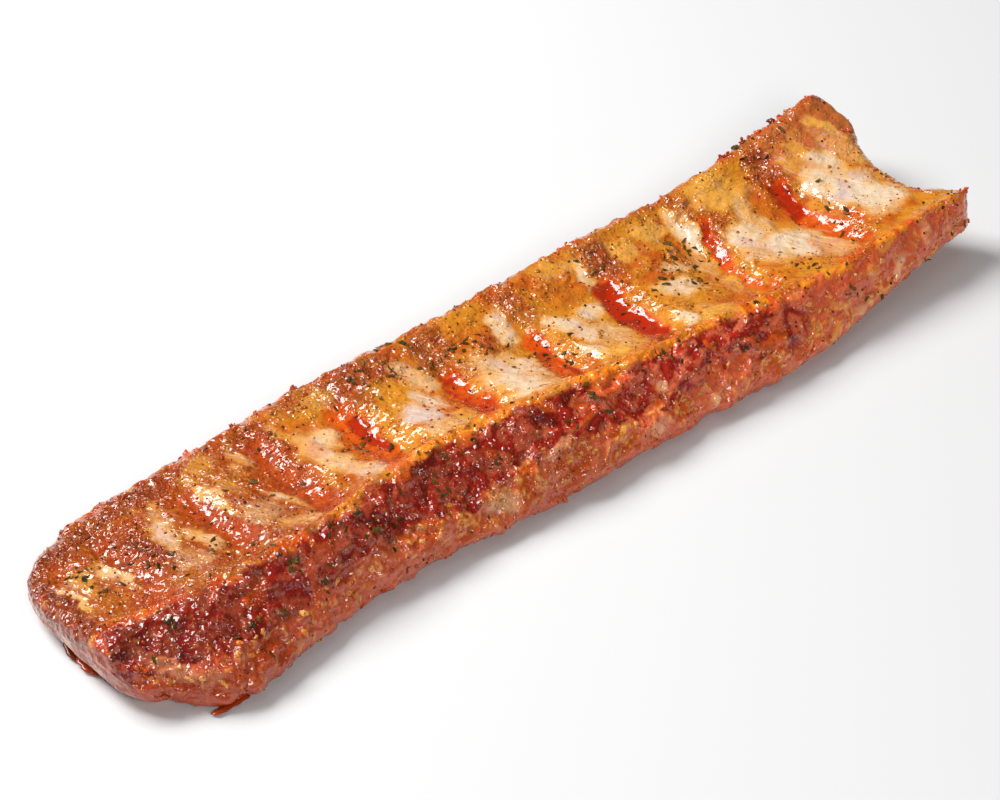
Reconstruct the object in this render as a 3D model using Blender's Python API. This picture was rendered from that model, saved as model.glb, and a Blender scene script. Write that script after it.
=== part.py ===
"""Rack of pork loin ribs, lying bone side up.

One solid: a slab of meat on ten ribs. The bone side is a shallow trough across the rack with a
valley between each two ribs, the near flank is the thick cut side, the back edge is thinner,
and the right end curls up off the table.

X runs along the rack, Y across it from the near flank to the back edge, Z is up.
The origin is the centre of the box that holds the rack, on the table.
"""

import math

import bmesh
import bpy

MM = 0.001

# Driving dimensions, in millimetres.
LENGTH = 380.0  # between the two cut ends
END_ROUNDING = 7.0  # how far each cut end bulges
END_INSET = 3.6  # how far its outline is drawn in on the way
NEAR_LIFT = 11.0  # height of the curled right end over the table, at the near flank
BACK_LIFT = 16.0  # the same at the back edge
LIFT_STARTS = 100.0  # where along X the curl begins
LEFT_UNDERCUT = 5.0  # height of the left end's lower edge over the table
VALLEY_DEPTH = 3.8  # from the crown of a rib to the meat between two ribs
END_HOLLOW = 5.0  # how far the middle of the right end lies behind its two corners
CORNER_CUT = 12.5  # how far the corners of the left end lie behind its middle
NUB_REACH = 8.0  # how far the near corner of the right end sticks out
NUB_WIDTH = 9.0
NUB_Y = -25.0
LUMP_REACH = 6.0  # how far the cut face near its back corner slants out below
LUMP_Y = 31.0

# Where the valleys between the ribs cross the rack, along X, and how wide each one is.
VALLEYS = (
    (-161.0, 12.0),
    (-126.0, 9.0),
    (-93.0, 10.0),
    (-57.0, 10.0),
    (-16.0, 9.0),
    (20.0, 9.0),
    (58.0, 11.0),
    (102.0, 9.0),
    (146.0, 10.0),
)

# Lines along the rack, at evenly spaced stations from its left end to its right end.
FOOT_Y = (-40, -52, -46, -43, -42, -44, -45.5, -44.5, -44.5, -44.5, -42, -37, -34)
RIDGE_Y = (-8, -19, -22.5, -21, -15.6, -15.6, -18.5, -22.5, -24, -26.5, -29.5, -29, -28)
RIDGE_Z = (19, 25, 27.5, 28, 28, 28, 28, 27, 26, 25, 22.5, 20, 16.5)
BACK_Y = (38, 43, 43.5, 44.5, 45.5, 44.5, 44, 45, 46, 45.5, 44.5, 44.5, 46)
BACK_Z = (14.5, 16.5, 18.5, 20, 21.5, 22.5, 22.5, 22.5, 22.5, 22.5, 22, 21, 19.5)
BACK_THICKNESS = (10, 12.5, 13, 13.5, 13, 12, 12)
TROUGH_DEPTH = (0.5, 1.5, 3.5, 4.5, 5.5, 6.5, 7.5)

# Mesh density.
STATIONS = 104
FLANK_POINTS = 10
TOP_POINTS = 17
BACK_POINTS = 5
UNDER_POINTS = 8
AROUND = FLANK_POINTS + TOP_POINTS + BACK_POINTS + UNDER_POINTS
END_RINGS = 4
CURVE_STEPS = 8


def mix(a, b, share):
    return a + (b - a) * share


def smooth_step(low, high, value):
    share = min(1.0, max(0.0, (value - low) / (high - low)))
    return share * share * (3.0 - 2.0 * share)


def catmull_rom(a, b, c, d, share):
    """The smooth curve from b to c, with a before it and d after it."""
    return 0.5 * (
        2.0 * b
        + (c - a) * share
        + (2.0 * a - 5.0 * b + 4.0 * c - d) * share**2
        + (3.0 * b - a - 3.0 * c + d) * share**3
    )


def along(values, x):
    """A line along the rack: a smooth curve through its evenly spaced values."""
    place = min(0.9999, max(0.0, x / LENGTH + 0.5)) * (len(values) - 1)
    first = int(place)
    near = [values[min(len(values) - 1, max(0, first + step))] for step in (-1, 0, 1, 2)]
    return catmull_rom(*near, place - first)


def lift(x, across):
    """How far the right end curls up, at a share from the near flank to the back edge."""
    share = max(0.0, (x - LIFT_STARTS) / (LENGTH / 2 - LIFT_STARTS))
    return mix(NEAR_LIFT, BACK_LIFT, across) * share**1.35


def floor_height(x, across):
    """Height of the underside: the curl of the right end and the undercut of the left one."""
    undercut = LEFT_UNDERCUT * (1.0 - smooth_step(-LENGTH / 2, 20.0 - LENGTH / 2, x))
    return lift(x, across) + undercut


def flank_lump(x, turn):
    """The uneven bulge of the cut flank; turn shifts the waves from one height to the next."""
    return 1.1 * math.sin(x / 13.0 + turn) + 0.8 * math.sin(x / 7.3 - 1.7 * turn)


def valley_relief(x, across):
    """Height of the bone side under the crowns of the ribs, at a share across the trough."""
    depth = 0.0
    bow = 6.0 * (across - 0.35) ** 2
    for place, width in VALLEYS:
        apart = (x - place - bow) / width
        steep = 1.0 + 0.35 * math.tanh(3.0 * apart)  # the right side of a valley rises faster
        depth += math.exp(-((apart * steep) ** 2))
    fade = smooth_step(0.0, 0.16, across) * (1.0 - 0.6 * smooth_step(0.45, 0.95, across))
    return -VALLEY_DEPTH * depth * fade


def top_height(x, across):
    """Height of the bone side at a share across the trough, from the ridge to the back edge."""
    base = mix(along(RIDGE_Z, x), along(BACK_Z, x), across)
    sag = along(TROUGH_DEPTH, x) * 4.0 * across * (1.0 - across)
    return base + lift(x, across) - sag + valley_relief(x, across)


def section(x):
    """The outline across the rack at x, as four stretches of key points (y, z)."""
    foot = along(FOOT_Y, x)
    ridge = along(RIDGE_Y, x)
    rise = along(RIDGE_Z, x)
    back = along(BACK_Y, x)
    thickness = along(BACK_THICKNESS, x)
    near_floor = floor_height(x, 0.0)
    back_floor = floor_height(x, 1.0)
    under = lift(x, 1.0) + along(BACK_Z, x) - thickness
    flank = [
        (foot + 7.0, near_floor),
        (foot + 1.9, near_floor + 0.08 * rise),
        (foot + 0.1 - 0.5 * flank_lump(x, 0.0), near_floor + 0.24 * rise),
        (mix(foot, ridge, 0.16) - flank_lump(x, 1.0), near_floor + 0.45 * rise),
        (mix(foot, ridge, 0.45) - flank_lump(x, 2.0), near_floor + 0.72 * rise),
        (mix(foot, ridge, 0.78), near_floor + 0.93 * rise),
    ]
    top = [
        (mix(ridge, back, across), top_height(x, across))
        for across in (0.0, 0.05, 0.13, 0.26, 0.42, 0.58, 0.74, 0.88, 0.96)
    ]
    edge = [
        (back + 1.2, under + 0.82 * thickness),
        (back + 2.2, under + 0.50 * thickness),
        (back + 0.2, under + 0.14 * thickness),
    ]
    below = [
        (mix(foot, back, 0.90), mix(back_floor, under, 0.62)),
        (mix(foot, back, 0.74), mix(back_floor, under, 0.16)),
        (mix(foot, back, 0.55), floor_height(x, 0.55)),
        (mix(foot, back, 0.30), floor_height(x, 0.30)),
    ]
    return flank, top, edge, below


def outline(x):
    """The closed outline across the rack at x: AROUND points, so many on each stretch."""
    stretches = section(x)
    keys = [point for stretch in stretches for point in stretch]
    counts = (FLANK_POINTS, TOP_POINTS, BACK_POINTS, UNDER_POINTS)
    line = []
    start = 0
    for stretch, count in zip(stretches, counts):
        end = start + len(stretch)
        line += evenly_spaced(curve_through(keys, start, end, x), count)
        start = end
    return line


def curve_through(keys, start, end, x):
    """A smooth curve through keys[start] to keys[end] of a closed outline."""
    curve = []
    for i in range(start, end):
        near = [keys[(i + step) % len(keys)] for step in (-1, 0, 1, 2)]
        for part in range(CURVE_STEPS):
            share = part / CURVE_STEPS
            y = catmull_rom(*(point[0] for point in near), share)
            z = catmull_rom(*(point[1] for point in near), share)
            curve.append((y, max(z, floor_height(x, 0.0))))
    last = keys[end % len(keys)]
    curve.append(last)
    return curve


def evenly_spaced(curve, count):
    """count points at equal steps along an open curve, without its last point."""
    run = [0.0]
    for a, b in zip(curve, curve[1:]):
        run.append(run[-1] + math.dist(a, b))
    spaced = []
    seen = 0
    for i in range(count):
        wanted = run[-1] * i / count
        while run[seen + 1] < wanted:
            seen += 1
        share = (wanted - run[seen]) / max(1e-9, run[seen + 1] - run[seen])
        spaced.append([mix(a, b, share) for a, b in zip(curve[seen], curve[seen + 1])])
    return spaced


def end_shift(x, y, z):
    """How far a point moves along X, for the corners of the left end and the hollow right end."""
    half_width = 0.5 * (along(BACK_Y, x) - along(FOOT_Y, x))
    middle = 0.5 * (along(BACK_Y, x) + along(FOOT_Y, x))
    aside = min(1.0, abs(y - middle) / half_width)
    left = CORNER_CUT * aside**5 * smooth_step(40.0 - LENGTH / 2, -LENGTH / 2, x)
    near_end = smooth_step(LENGTH / 2 - 40.0, LENGTH / 2, x)
    nub = NUB_REACH * math.exp(-(((y - NUB_Y) / NUB_WIDTH) ** 2))
    hollow = END_HOLLOW * (1.0 - aside**2.5)
    depth = (top_height(x, 1.0) - z) / along(BACK_THICKNESS, x)
    lump = LUMP_REACH * math.exp(-(((y - LUMP_Y) / 10.0) ** 2)) * smooth_step(0.0, 0.4, depth)
    return left + (nub + lump - hollow) * near_end


def rings():
    """The rack's outlines from left to right, as lists of points in millimetres."""
    inner = LENGTH / 2 - END_ROUNDING
    turns = [math.pi / 2 * i / END_RINGS for i in range(END_RINGS)]
    loops = []
    for turn in turns:
        loops.append(ring(-inner - END_ROUNDING * math.cos(turn), END_INSET * (1 - math.sin(turn))))
    for i in range(STATIONS + 1):
        loops.append(ring(mix(-inner, inner, i / STATIONS), 0.0))
    for turn in reversed(turns):
        loops.append(ring(inner + END_ROUNDING * math.cos(turn), END_INSET * (1 - math.sin(turn))))
    return centred(loops)


def ring(x, inset):
    """One outline, drawn in by inset where a cut end is rounded off."""
    nearest = min(LENGTH / 2 - END_ROUNDING, max(END_ROUNDING - LENGTH / 2, x))
    line = drawn_in(outline(nearest), inset)
    return [(x + end_shift(x, y, z), y, z) for y, z in line]


def drawn_in(line, inset):
    """An outline moved inwards in small steps and evened out between them."""
    steps = math.ceil(2.0 * inset)
    for _ in range(steps):
        moved = []
        for i, (y, z) in enumerate(line):
            before = line[i - 1]
            after = line[(i + 1) % len(line)]
            run = math.dist(before, after)
            inward_y = (after[1] - before[1]) / run
            inward_z = (before[0] - after[0]) / run
            y = mix(y, 0.5 * (before[0] + after[0]), 0.25) + inward_y * inset / steps
            z = mix(z, 0.5 * (before[1] + after[1]), 0.25) + inward_z * inset / steps
            moved.append((y, z))
        line = moved
    return line


def centred(loops):
    """The same loops, with the middle of the box that holds them over the origin."""
    middles = []
    for axis in (0, 1):
        values = [point[axis] for loop in loops for point in loop]
        middles.append(0.5 * (min(values) + max(values)))
    return [[(x - middles[0], y - middles[1], z) for x, y, z in loop] for loop in loops]


def rack_mesh():
    """The rings bridged one to the next and closed at both ends."""
    work = bmesh.new()
    loops = [
        [work.verts.new([value * MM for value in point]) for point in loop]
        for loop in rings()
    ]
    for first, second in zip(loops, loops[1:]):
        for i in range(AROUND):
            j = (i + 1) % AROUND
            work.faces.new((first[i], first[j], second[j], second[i]))
    for loop in (loops[0], loops[-1]):
        close_end(work, loop)
    bmesh.ops.recalc_face_normals(work, faces=work.faces)
    mesh = bpy.data.meshes.new("rack")
    work.to_mesh(mesh)
    work.free()
    mesh.shade_smooth()
    return mesh


def close_end(work, loop):
    """Triangles between the upper and the lower half of an end loop, from flank to back edge."""
    start = min(range(AROUND), key=lambda i: loop[i].co.y)
    loop = loop[start:] + loop[:start]
    turn = max(range(AROUND), key=lambda i: loop[i].co.y)
    upper = loop[1 : turn + 1]
    lower = loop[:turn:-1]
    a = loop[0]
    b = upper.pop(0)
    while upper or lower:
        if not lower or (upper and upper[0].co.y < lower[0].co.y):
            work.faces.new((a, b, upper[0]))
            b = upper.pop(0)
        else:
            work.faces.new((a, b, lower[0]))
            a = lower.pop(0)


def meat_material():
    material = bpy.data.materials.new("marinated_meat")
    material.use_nodes = True
    shader = material.node_tree.nodes["Principled BSDF"]
    shader.inputs["Base Color"].default_value = (0.55, 0.12, 0.03, 1.0)
    shader.inputs["Roughness"].default_value = 0.3
    shader.inputs["Metallic"].default_value = 0.0
    return material


def clear_scene():
    for thing in list(bpy.data.objects):
        bpy.data.objects.remove(thing)


def main():
    clear_scene()
    mesh = rack_mesh()
    mesh.materials.append(meat_material())
    rack = bpy.data.objects.new("rack", mesh)
    bpy.context.scene.collection.objects.link(rack)


main()
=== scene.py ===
"""The looks of the rack of ribs: raw pork loin ribs in a red marinade, lying bone side up.

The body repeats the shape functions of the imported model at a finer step, then adds the relief of
meat, membrane, fat and pooled marinade. Herbs, spice grains, drops and torn shreds are pieces of
their own. Lengths are in millimetres until a mesh is made.
"""

import math

import bmesh
import bpy
import numpy as np
from mathutils import Matrix, Vector


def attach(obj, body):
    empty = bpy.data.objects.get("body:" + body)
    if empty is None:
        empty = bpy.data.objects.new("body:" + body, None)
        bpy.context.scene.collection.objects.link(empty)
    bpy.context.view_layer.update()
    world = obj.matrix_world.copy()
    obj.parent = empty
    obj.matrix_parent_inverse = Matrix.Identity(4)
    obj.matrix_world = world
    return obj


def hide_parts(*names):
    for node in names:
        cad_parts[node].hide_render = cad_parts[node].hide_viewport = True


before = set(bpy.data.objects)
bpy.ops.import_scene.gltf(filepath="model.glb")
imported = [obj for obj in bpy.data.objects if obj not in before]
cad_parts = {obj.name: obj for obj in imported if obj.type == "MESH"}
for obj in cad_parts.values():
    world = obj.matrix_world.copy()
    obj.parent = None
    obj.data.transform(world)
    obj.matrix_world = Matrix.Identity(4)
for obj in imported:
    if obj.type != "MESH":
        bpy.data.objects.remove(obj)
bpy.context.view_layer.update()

MM = 0.001

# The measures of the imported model, in millimetres, as in its source.
LENGTH = 380.0
END_ROUNDING = 7.0
END_INSET = 3.6
NEAR_LIFT = 11.0
BACK_LIFT = 16.0
LIFT_STARTS = 100.0
LEFT_UNDERCUT = 5.0
VALLEY_DEPTH = 3.8
END_HOLLOW = 5.0
CORNER_CUT = 12.5
NUB_REACH = 8.0
NUB_WIDTH = 9.0
NUB_Y = -25.0
LUMP_REACH = 6.0
LUMP_Y = 31.0
VALLEYS = (
    (-161.0, 12.0), (-126.0, 9.0), (-93.0, 10.0), (-57.0, 10.0), (-16.0, 9.0), (20.0, 9.0),
    (58.0, 11.0), (102.0, 9.0), (146.0, 10.0),
)
FOOT_Y = (-40, -52, -46, -43, -42, -44, -45.5, -44.5, -44.5, -44.5, -42, -37, -34)
RIDGE_Y = (-8, -19, -22.5, -21, -15.6, -15.6, -18.5, -22.5, -24, -26.5, -29.5, -29, -28)
RIDGE_Z = (19, 25, 27.5, 28, 28, 28, 28, 27, 26, 25, 22.5, 20, 16.5)
BACK_Y = (38, 43, 43.5, 44.5, 45.5, 44.5, 44, 45, 46, 45.5, 44.5, 44.5, 46)
BACK_Z = (14.5, 16.5, 18.5, 20, 21.5, 22.5, 22.5, 22.5, 22.5, 22.5, 22, 21, 19.5)
BACK_THICKNESS = (10, 12.5, 13, 13.5, 13, 12, 12)
TROUGH_DEPTH = (0.5, 1.5, 3.5, 4.5, 5.5, 6.5, 7.5)

# How finely this body is divided.
STATIONS = 480
FLANK_POINTS = 50
TOP_POINTS = 100
BACK_POINTS = 20
UNDER_POINTS = 24
AROUND = FLANK_POINTS + TOP_POINTS + BACK_POINTS + UNDER_POINTS
END_RINGS = 10
CAP_RINGS = 5
CURVE_STEPS = 12


def mix(a, b, share):
    return a + (b - a) * share


def smooth_step(low, high, value):
    share = min(1.0, max(0.0, (value - low) / (high - low)))
    return share * share * (3.0 - 2.0 * share)


def catmull_rom(a, b, c, d, share):
    return 0.5 * (
        2.0 * b
        + (c - a) * share
        + (2.0 * a - 5.0 * b + 4.0 * c - d) * share**2
        + (3.0 * b - a - 3.0 * c + d) * share**3
    )


def along(values, x):
    place = min(0.9999, max(0.0, x / LENGTH + 0.5)) * (len(values) - 1)
    first = int(place)
    near = [values[min(len(values) - 1, max(0, first + step))] for step in (-1, 0, 1, 2)]
    return catmull_rom(*near, place - first)


def lift(x, across):
    share = max(0.0, (x - LIFT_STARTS) / (LENGTH / 2 - LIFT_STARTS))
    return mix(NEAR_LIFT, BACK_LIFT, across) * share**1.35


def floor_height(x, across):
    undercut = LEFT_UNDERCUT * (1.0 - smooth_step(-LENGTH / 2, 20.0 - LENGTH / 2, x))
    return lift(x, across) + undercut


def flank_lump(x, turn):
    return 1.1 * math.sin(x / 13.0 + turn) + 0.8 * math.sin(x / 7.3 - 1.7 * turn)


def valley_relief(x, across):
    depth = 0.0
    bow = 6.0 * (across - 0.35) ** 2
    for place, width in VALLEYS:
        apart = (x - place - bow) / width
        steep = 1.0 + 0.35 * math.tanh(3.0 * apart)
        depth += math.exp(-((apart * steep) ** 2))
    fade = smooth_step(0.0, 0.16, across) * (1.0 - 0.6 * smooth_step(0.45, 0.95, across))
    return -VALLEY_DEPTH * depth * fade


def top_height(x, across):
    base = mix(along(RIDGE_Z, x), along(BACK_Z, x), across)
    sag = along(TROUGH_DEPTH, x) * 4.0 * across * (1.0 - across)
    return base + lift(x, across) - sag + valley_relief(x, across)


def section(x):
    foot = along(FOOT_Y, x)
    ridge = along(RIDGE_Y, x)
    rise = along(RIDGE_Z, x)
    back = along(BACK_Y, x)
    thickness = along(BACK_THICKNESS, x)
    near_floor = floor_height(x, 0.0)
    back_floor = floor_height(x, 1.0)
    under = lift(x, 1.0) + along(BACK_Z, x) - thickness
    flank = [
        (foot + 7.0, near_floor),
        (foot + 1.9, near_floor + 0.08 * rise),
        (foot + 0.1 - 0.5 * flank_lump(x, 0.0), near_floor + 0.24 * rise),
        (mix(foot, ridge, 0.16) - flank_lump(x, 1.0), near_floor + 0.45 * rise),
        (mix(foot, ridge, 0.45) - flank_lump(x, 2.0), near_floor + 0.72 * rise),
        (mix(foot, ridge, 0.78), near_floor + 0.93 * rise),
    ]
    top = [
        (mix(ridge, back, across), top_height(x, across))
        for across in (0.0, 0.05, 0.13, 0.26, 0.42, 0.58, 0.74, 0.88, 0.96)
    ]
    edge = [
        (back + 1.2, under + 0.82 * thickness),
        (back + 2.2, under + 0.50 * thickness),
        (back + 0.2, under + 0.14 * thickness),
    ]
    below = [
        (mix(foot, back, 0.90), mix(back_floor, under, 0.62)),
        (mix(foot, back, 0.74), mix(back_floor, under, 0.16)),
        (mix(foot, back, 0.55), floor_height(x, 0.55)),
        (mix(foot, back, 0.30), floor_height(x, 0.30)),
    ]
    return flank, top, edge, below


def outline(x):
    stretches = section(x)
    keys = [point for stretch in stretches for point in stretch]
    counts = (FLANK_POINTS, TOP_POINTS, BACK_POINTS, UNDER_POINTS)
    line = []
    start = 0
    for stretch, count in zip(stretches, counts):
        end = start + len(stretch)
        line.append(evenly_spaced(curve_through(keys, start, end, x), count))
        start = end
    return np.concatenate(line)


def curve_through(keys, start, end, x):
    low = floor_height(x, 0.0)
    curve = []
    for i in range(start, end):
        near = [keys[(i + step) % len(keys)] for step in (-1, 0, 1, 2)]
        for part in range(CURVE_STEPS):
            share = part / CURVE_STEPS
            y = catmull_rom(*(point[0] for point in near), share)
            z = catmull_rom(*(point[1] for point in near), share)
            curve.append((y, max(z, low)))
    curve.append(keys[end % len(keys)])
    return np.array(curve)


def evenly_spaced(curve, count):
    run = np.concatenate([[0.0], np.cumsum(np.hypot(*np.diff(curve, axis=0).T))])
    wanted = run[-1] * np.arange(count) / count
    return np.stack([np.interp(wanted, run, curve[:, k]) for k in (0, 1)], axis=1)


def end_shift(x, y, z):
    half_width = 0.5 * (along(BACK_Y, x) - along(FOOT_Y, x))
    middle = 0.5 * (along(BACK_Y, x) + along(FOOT_Y, x))
    aside = np.minimum(1.0, np.abs(y - middle) / half_width)
    left = CORNER_CUT * aside**5 * smooth_step(40.0 - LENGTH / 2, -LENGTH / 2, x)
    near_end = smooth_step(LENGTH / 2 - 40.0, LENGTH / 2, x)
    nub = NUB_REACH * np.exp(-(((y - NUB_Y) / NUB_WIDTH) ** 2))
    hollow = END_HOLLOW * (1.0 - aside**2.5)
    depth = np.clip((top_height(x, 1.0) - z) / along(BACK_THICKNESS, x) / 0.4, 0, 1)
    depth = depth * depth * (3 - 2 * depth)
    lump = LUMP_REACH * np.exp(-(((y - LUMP_Y) / 10.0) ** 2)) * depth
    return left + (nub + lump - hollow) * near_end


def drawn_in(line, inset):
    steps = math.ceil(8.0 * inset)
    for _ in range(steps):
        before = np.roll(line, 1, axis=0)
        after = np.roll(line, -1, axis=0)
        run = np.hypot(*(after - before).T)
        inward = np.stack([(after - before)[:, 1], (before - after)[:, 0]], axis=1) / run[:, None]
        line = 0.6 * line + 0.2 * (before + after) + inward * inset / steps
    return line


def ring(x, inset):
    nearest = min(LENGTH / 2 - END_ROUNDING, max(END_ROUNDING - LENGTH / 2, x))
    line = drawn_in(outline(nearest), inset)
    shifted = x + end_shift(x, line[:, 0], line[:, 1])
    return np.column_stack([shifted, line])


def thinned(loop, share):
    """An end loop pressed towards the middle of its thickness by share."""
    y, z = loop[:, 1], loop[:, 2]
    first, last = int(np.argmin(y)), int(np.argmax(y))
    if first > last:
        first = 0
    upper = loop[first : last + 1]
    lower = np.concatenate([loop[last:], loop[: first + 1]])
    up = np.argsort(upper[:, 1])
    low = np.argsort(lower[:, 1])
    middle = 0.5 * (
        np.interp(y, upper[up, 1], upper[up, 2]) + np.interp(y, lower[low, 1], lower[low, 2])
    )
    out = loop.copy()
    out[:, 2] = mix(z, middle, share)
    return out


def rack_rings():
    inner = LENGTH / 2 - END_ROUNDING
    turns = [math.pi / 2 * i / END_RINGS for i in range(END_RINGS)]
    left = [ring(-inner - END_ROUNDING * math.cos(t), END_INSET * (1 - math.sin(t))) for t in turns]
    right = [ring(inner + END_ROUNDING * math.cos(t), END_INSET * (1 - math.sin(t))) for t in turns]
    middle = [ring(mix(-inner, inner, i / STATIONS), 0.0) for i in range(STATIONS + 1)]
    press = [(k + 1) / (CAP_RINGS + 0.5) for k in range(CAP_RINGS)]
    caps = [[thinned(side[0], share) for share in reversed(press)] for side in (left, right)]
    loops = caps[0] + left + middle + right[::-1] + caps[1][::-1]
    loops = np.array(loops)
    low = loops.reshape(-1, 3).min(axis=0)
    high = loops.reshape(-1, 3).max(axis=0)
    shift = 0.5 * (low + high)
    shift[2] = 0.0
    return loops - shift

# ---------------------------------------------------------------- noise

# The directions in which the noise may slope at a corner of its grid.
SLOPES = np.array(
    [(a, b, 0) for a in (1, -1) for b in (1, -1)]
    + [(a, 0, b) for a in (1, -1) for b in (1, -1)]
    + [(0, a, b) for a in (1, -1) for b in (1, -1)],
    float,
)


def hashed(cell, seed):
    """A value from 0 to 1 for each whole-number cell."""
    mixed = (
        cell[..., 0] * 374761393 + cell[..., 1] * 668265263 + cell[..., 2] * 2147483647
    ) + seed * 1274126177
    mixed = (mixed ^ (mixed >> 13)) * 1274126177
    mixed = (mixed ^ (mixed >> 16)) & 0xFFFFFF
    return mixed / float(0xFFFFFF)


def noise(points, size, seed=0):
    """Smooth noise, mostly from -1 to 1, with lumps about size across; size may differ by axis."""
    p = points / np.asarray(size, float) + seed * 7.31
    base = np.floor(p).astype(np.int64)
    part = p - base
    fade = part * part * part * (part * (part * 6 - 15) + 10)
    total = 0.0
    for corner in range(8):
        step = np.array([corner & 1, corner >> 1 & 1, corner >> 2 & 1])
        weight = np.prod(np.where(step, fade, 1 - fade), axis=-1)
        slope = SLOPES[(hashed(base + step, seed) * 11.999).astype(np.int64)]
        total = total + weight * np.sum(slope * (part - step), axis=-1)
    return np.clip(total * 1.5, -1.0, 1.0)


def layered(points, size, octaves=3, seed=0):
    total, weight = 0.0, 0.0
    size = np.asarray(size, float)
    for k in range(octaves):
        total = total + noise(points, size / 2**k, seed + 11 * k) * 0.6**k
        weight += 0.6**k
    return total / weight


def ridged(points, size, octaves=2, seed=0):
    """Sharp crests from 0 to 1 along winding lines."""
    total, weight = 0.0, 0.0
    size = np.asarray(size, float)
    for k in range(octaves):
        total = total + (1 - np.abs(noise(points, size / 2**k, seed + 17 * k))) ** 2 * 0.6**k
        weight += 0.6**k
    return total / weight


def stirred(points, amount, size, seed):
    """The points moved about, so that noise read there winds and branches."""
    moves = [noise(points, size, seed + k) for k in range(3)]
    return points + amount * np.stack(moves, axis=-1)


def step_up(low, high, value):
    share = np.clip((value - low) / (high - low), 0.0, 1.0)
    return share * share * (3.0 - 2.0 * share)


# ---------------------------------------------------------------- the places on the surface

FLANK_WIDTH = 38.0
TOP_WIDTH = 68.0
EDGE_WIDTH = 18.0
UNDER_WIDTH = 84.0


def across_measure():
    """Millimetres across the surface for each point of an outline, from the ridge."""
    return np.concatenate(
        [
            -FLANK_WIDTH + FLANK_WIDTH * np.arange(FLANK_POINTS) / FLANK_POINTS,
            TOP_WIDTH * np.arange(TOP_POINTS) / TOP_POINTS,
            TOP_WIDTH + EDGE_WIDTH * np.arange(BACK_POINTS) / BACK_POINTS,
            TOP_WIDTH + EDGE_WIDTH + UNDER_WIDTH * np.arange(UNDER_POINTS) / UNDER_POINTS,
        ]
    )


# Pale membrane over the bones: x, across, half sizes, tilt in degrees, strength, kind.
# Kinds: c cream, l lilac, p pink, y yellow.
PALE = (
    (-183, 27, 1.6, 9, 0, 0.9, "c"), (-176, 36, 4.5, 9, -8, 0.45, "y"),
    (-167, 33, 2.4, 8.5, 10, 0.85, "c"), (-143, 37, 4.2, 10, -18, 0.95, "l"),
    (-134, 28, 3.0, 6.5, 12, 0.8, "c"), (-145, 19, 5.5, 6, -30, 0.45, "c"),
    (-137, 50, 3.5, 4, -25, 0.5, "p"), (-121, 42, 2.2, 12, 7, 0.85, "p"),
    (-114, 40, 3.4, 8, 0, 0.4, "y"), (-113, 22, 6.0, 9, -35, 0.45, "c"),
    (-101, 26, 2.8, 6, 25, 0.75, "c"), (-97, 18, 2.4, 6, 30, 0.7, "p"),
    (-105, 9, 7.5, 5, 0, 0.75, "p"), (-101, 52, 3.6, 5, 0, 0.6, "p"),
    (-114, 57, 5.0, 5, 0, 0.45, "y"), (-82, 48, 3.0, 9, 0, 0.5, "y"),
    (-79, 36, 4.0, 9, -4, 0.9, "p"), (-72, 39, 4.2, 5, 0, 0.75, "c"),
    (-77, 24, 5.0, 6, 0, 0.7, "c"), (-73, 10, 4.2, 8, 8, 0.85, "l"),
    (-40, 22, 4.8, 8.5, 8, 0.95, "l"), (-33, 30, 3.8, 6, -8, 0.85, "l"),
    (-28, 45, 4.5, 9, 12, 0.6, "c"), (-40, 9, 6.5, 5.5, 0, 0.6, "c"),
    (-30, 12, 3.0, 6, 0, 0.45, "y"), (-4, 20, 7.2, 17, 0, 0.85, "c"), (0, 31, 4.0, 6, 0, 0.75, "l"),
    (6, 26, 4.5, 9, 8, 0.8, "c"), (-6, 6, 6.0, 6, 0, 0.8, "c"), (4, 7, 5.0, 6, 0, 0.7, "c"),
    (14, 49, 3.2, 8, -14, 0.85, "c"), (18, 53, 2.0, 3, 0, 0.75, "l"),
    (33, 37, 5.5, 5, 0, 0.85, "c"), (35, 27, 3.2, 6.5, 0, 0.8, "l"),
    (46, 37, 5.0, 4, 15, 0.85, "c"), (40, 22, 7.0, 8, 0, 0.55, "c"), (29, 14, 3.2, 6, 0, 0.75, "c"),
    (36, 10, 8.0, 4.5, 0, 0.6, "y"), (57, 52, 2.2, 8.5, 4, 0.8, "c"),
    (65, 7, 3.2, 7.5, 0, 0.9, "c"), (76, 53, 5.0, 5, 0, 0.55, "y"),
    (80, 27, 7.0, 4.5, -10, 0.8, "c"), (86, 38, 4.8, 3, 0, 0.7, "c"),
    (103, 52, 3.4, 8, 0, 0.95, "c"), (98, 37, 4.0, 6, 0, 0.55, "p"), (76, 6, 7.0, 5, 0, 0.65, "y"),
    (92, 56, 7.0, 4, 0, 0.6, "y"), (117, 36, 8.0, 5, 12, 0.9, "c"),
    (129, 24, 13.5, 8, -4, 0.95, "c"), (115, 29, 4.0, 6, 0, 0.75, "l"),
    (139, 18, 6.0, 8, 0, 0.85, "p"), (125, 55, 9.0, 5.5, 0, 0.55, "y"),
    (127, 45, 3.4, 8, 0, 0.55, "c"), (164, 30, 8.0, 13, 22, 0.95, "l"),
    (158, 38, 4.5, 6, 0, 0.85, "c"), (168, 20, 8.5, 8, 0, 0.9, "c"),
    (166, 44, 4.5, 7, 38, 0.8, "c"), (156, 50, 4.0, 5, 0, 0.55, "y"),
    (176, 55, 2.2, 7, 28, 0.7, "y"), (178, 40, 3.0, 14, 24, 0.6, "p"),
    (162, 55, 4.0, 5, 20, 0.5, "y"), (96, 22, 5.0, 8, 0, 0.45, "y"), (122, 60, 9.0, 5, 0, 0.5, "y"),
    (-60, 58, 8.0, 4, 0, 0.4, "y"), (50, 60, 8.0, 4, 0, 0.4, "y"),
)

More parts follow.
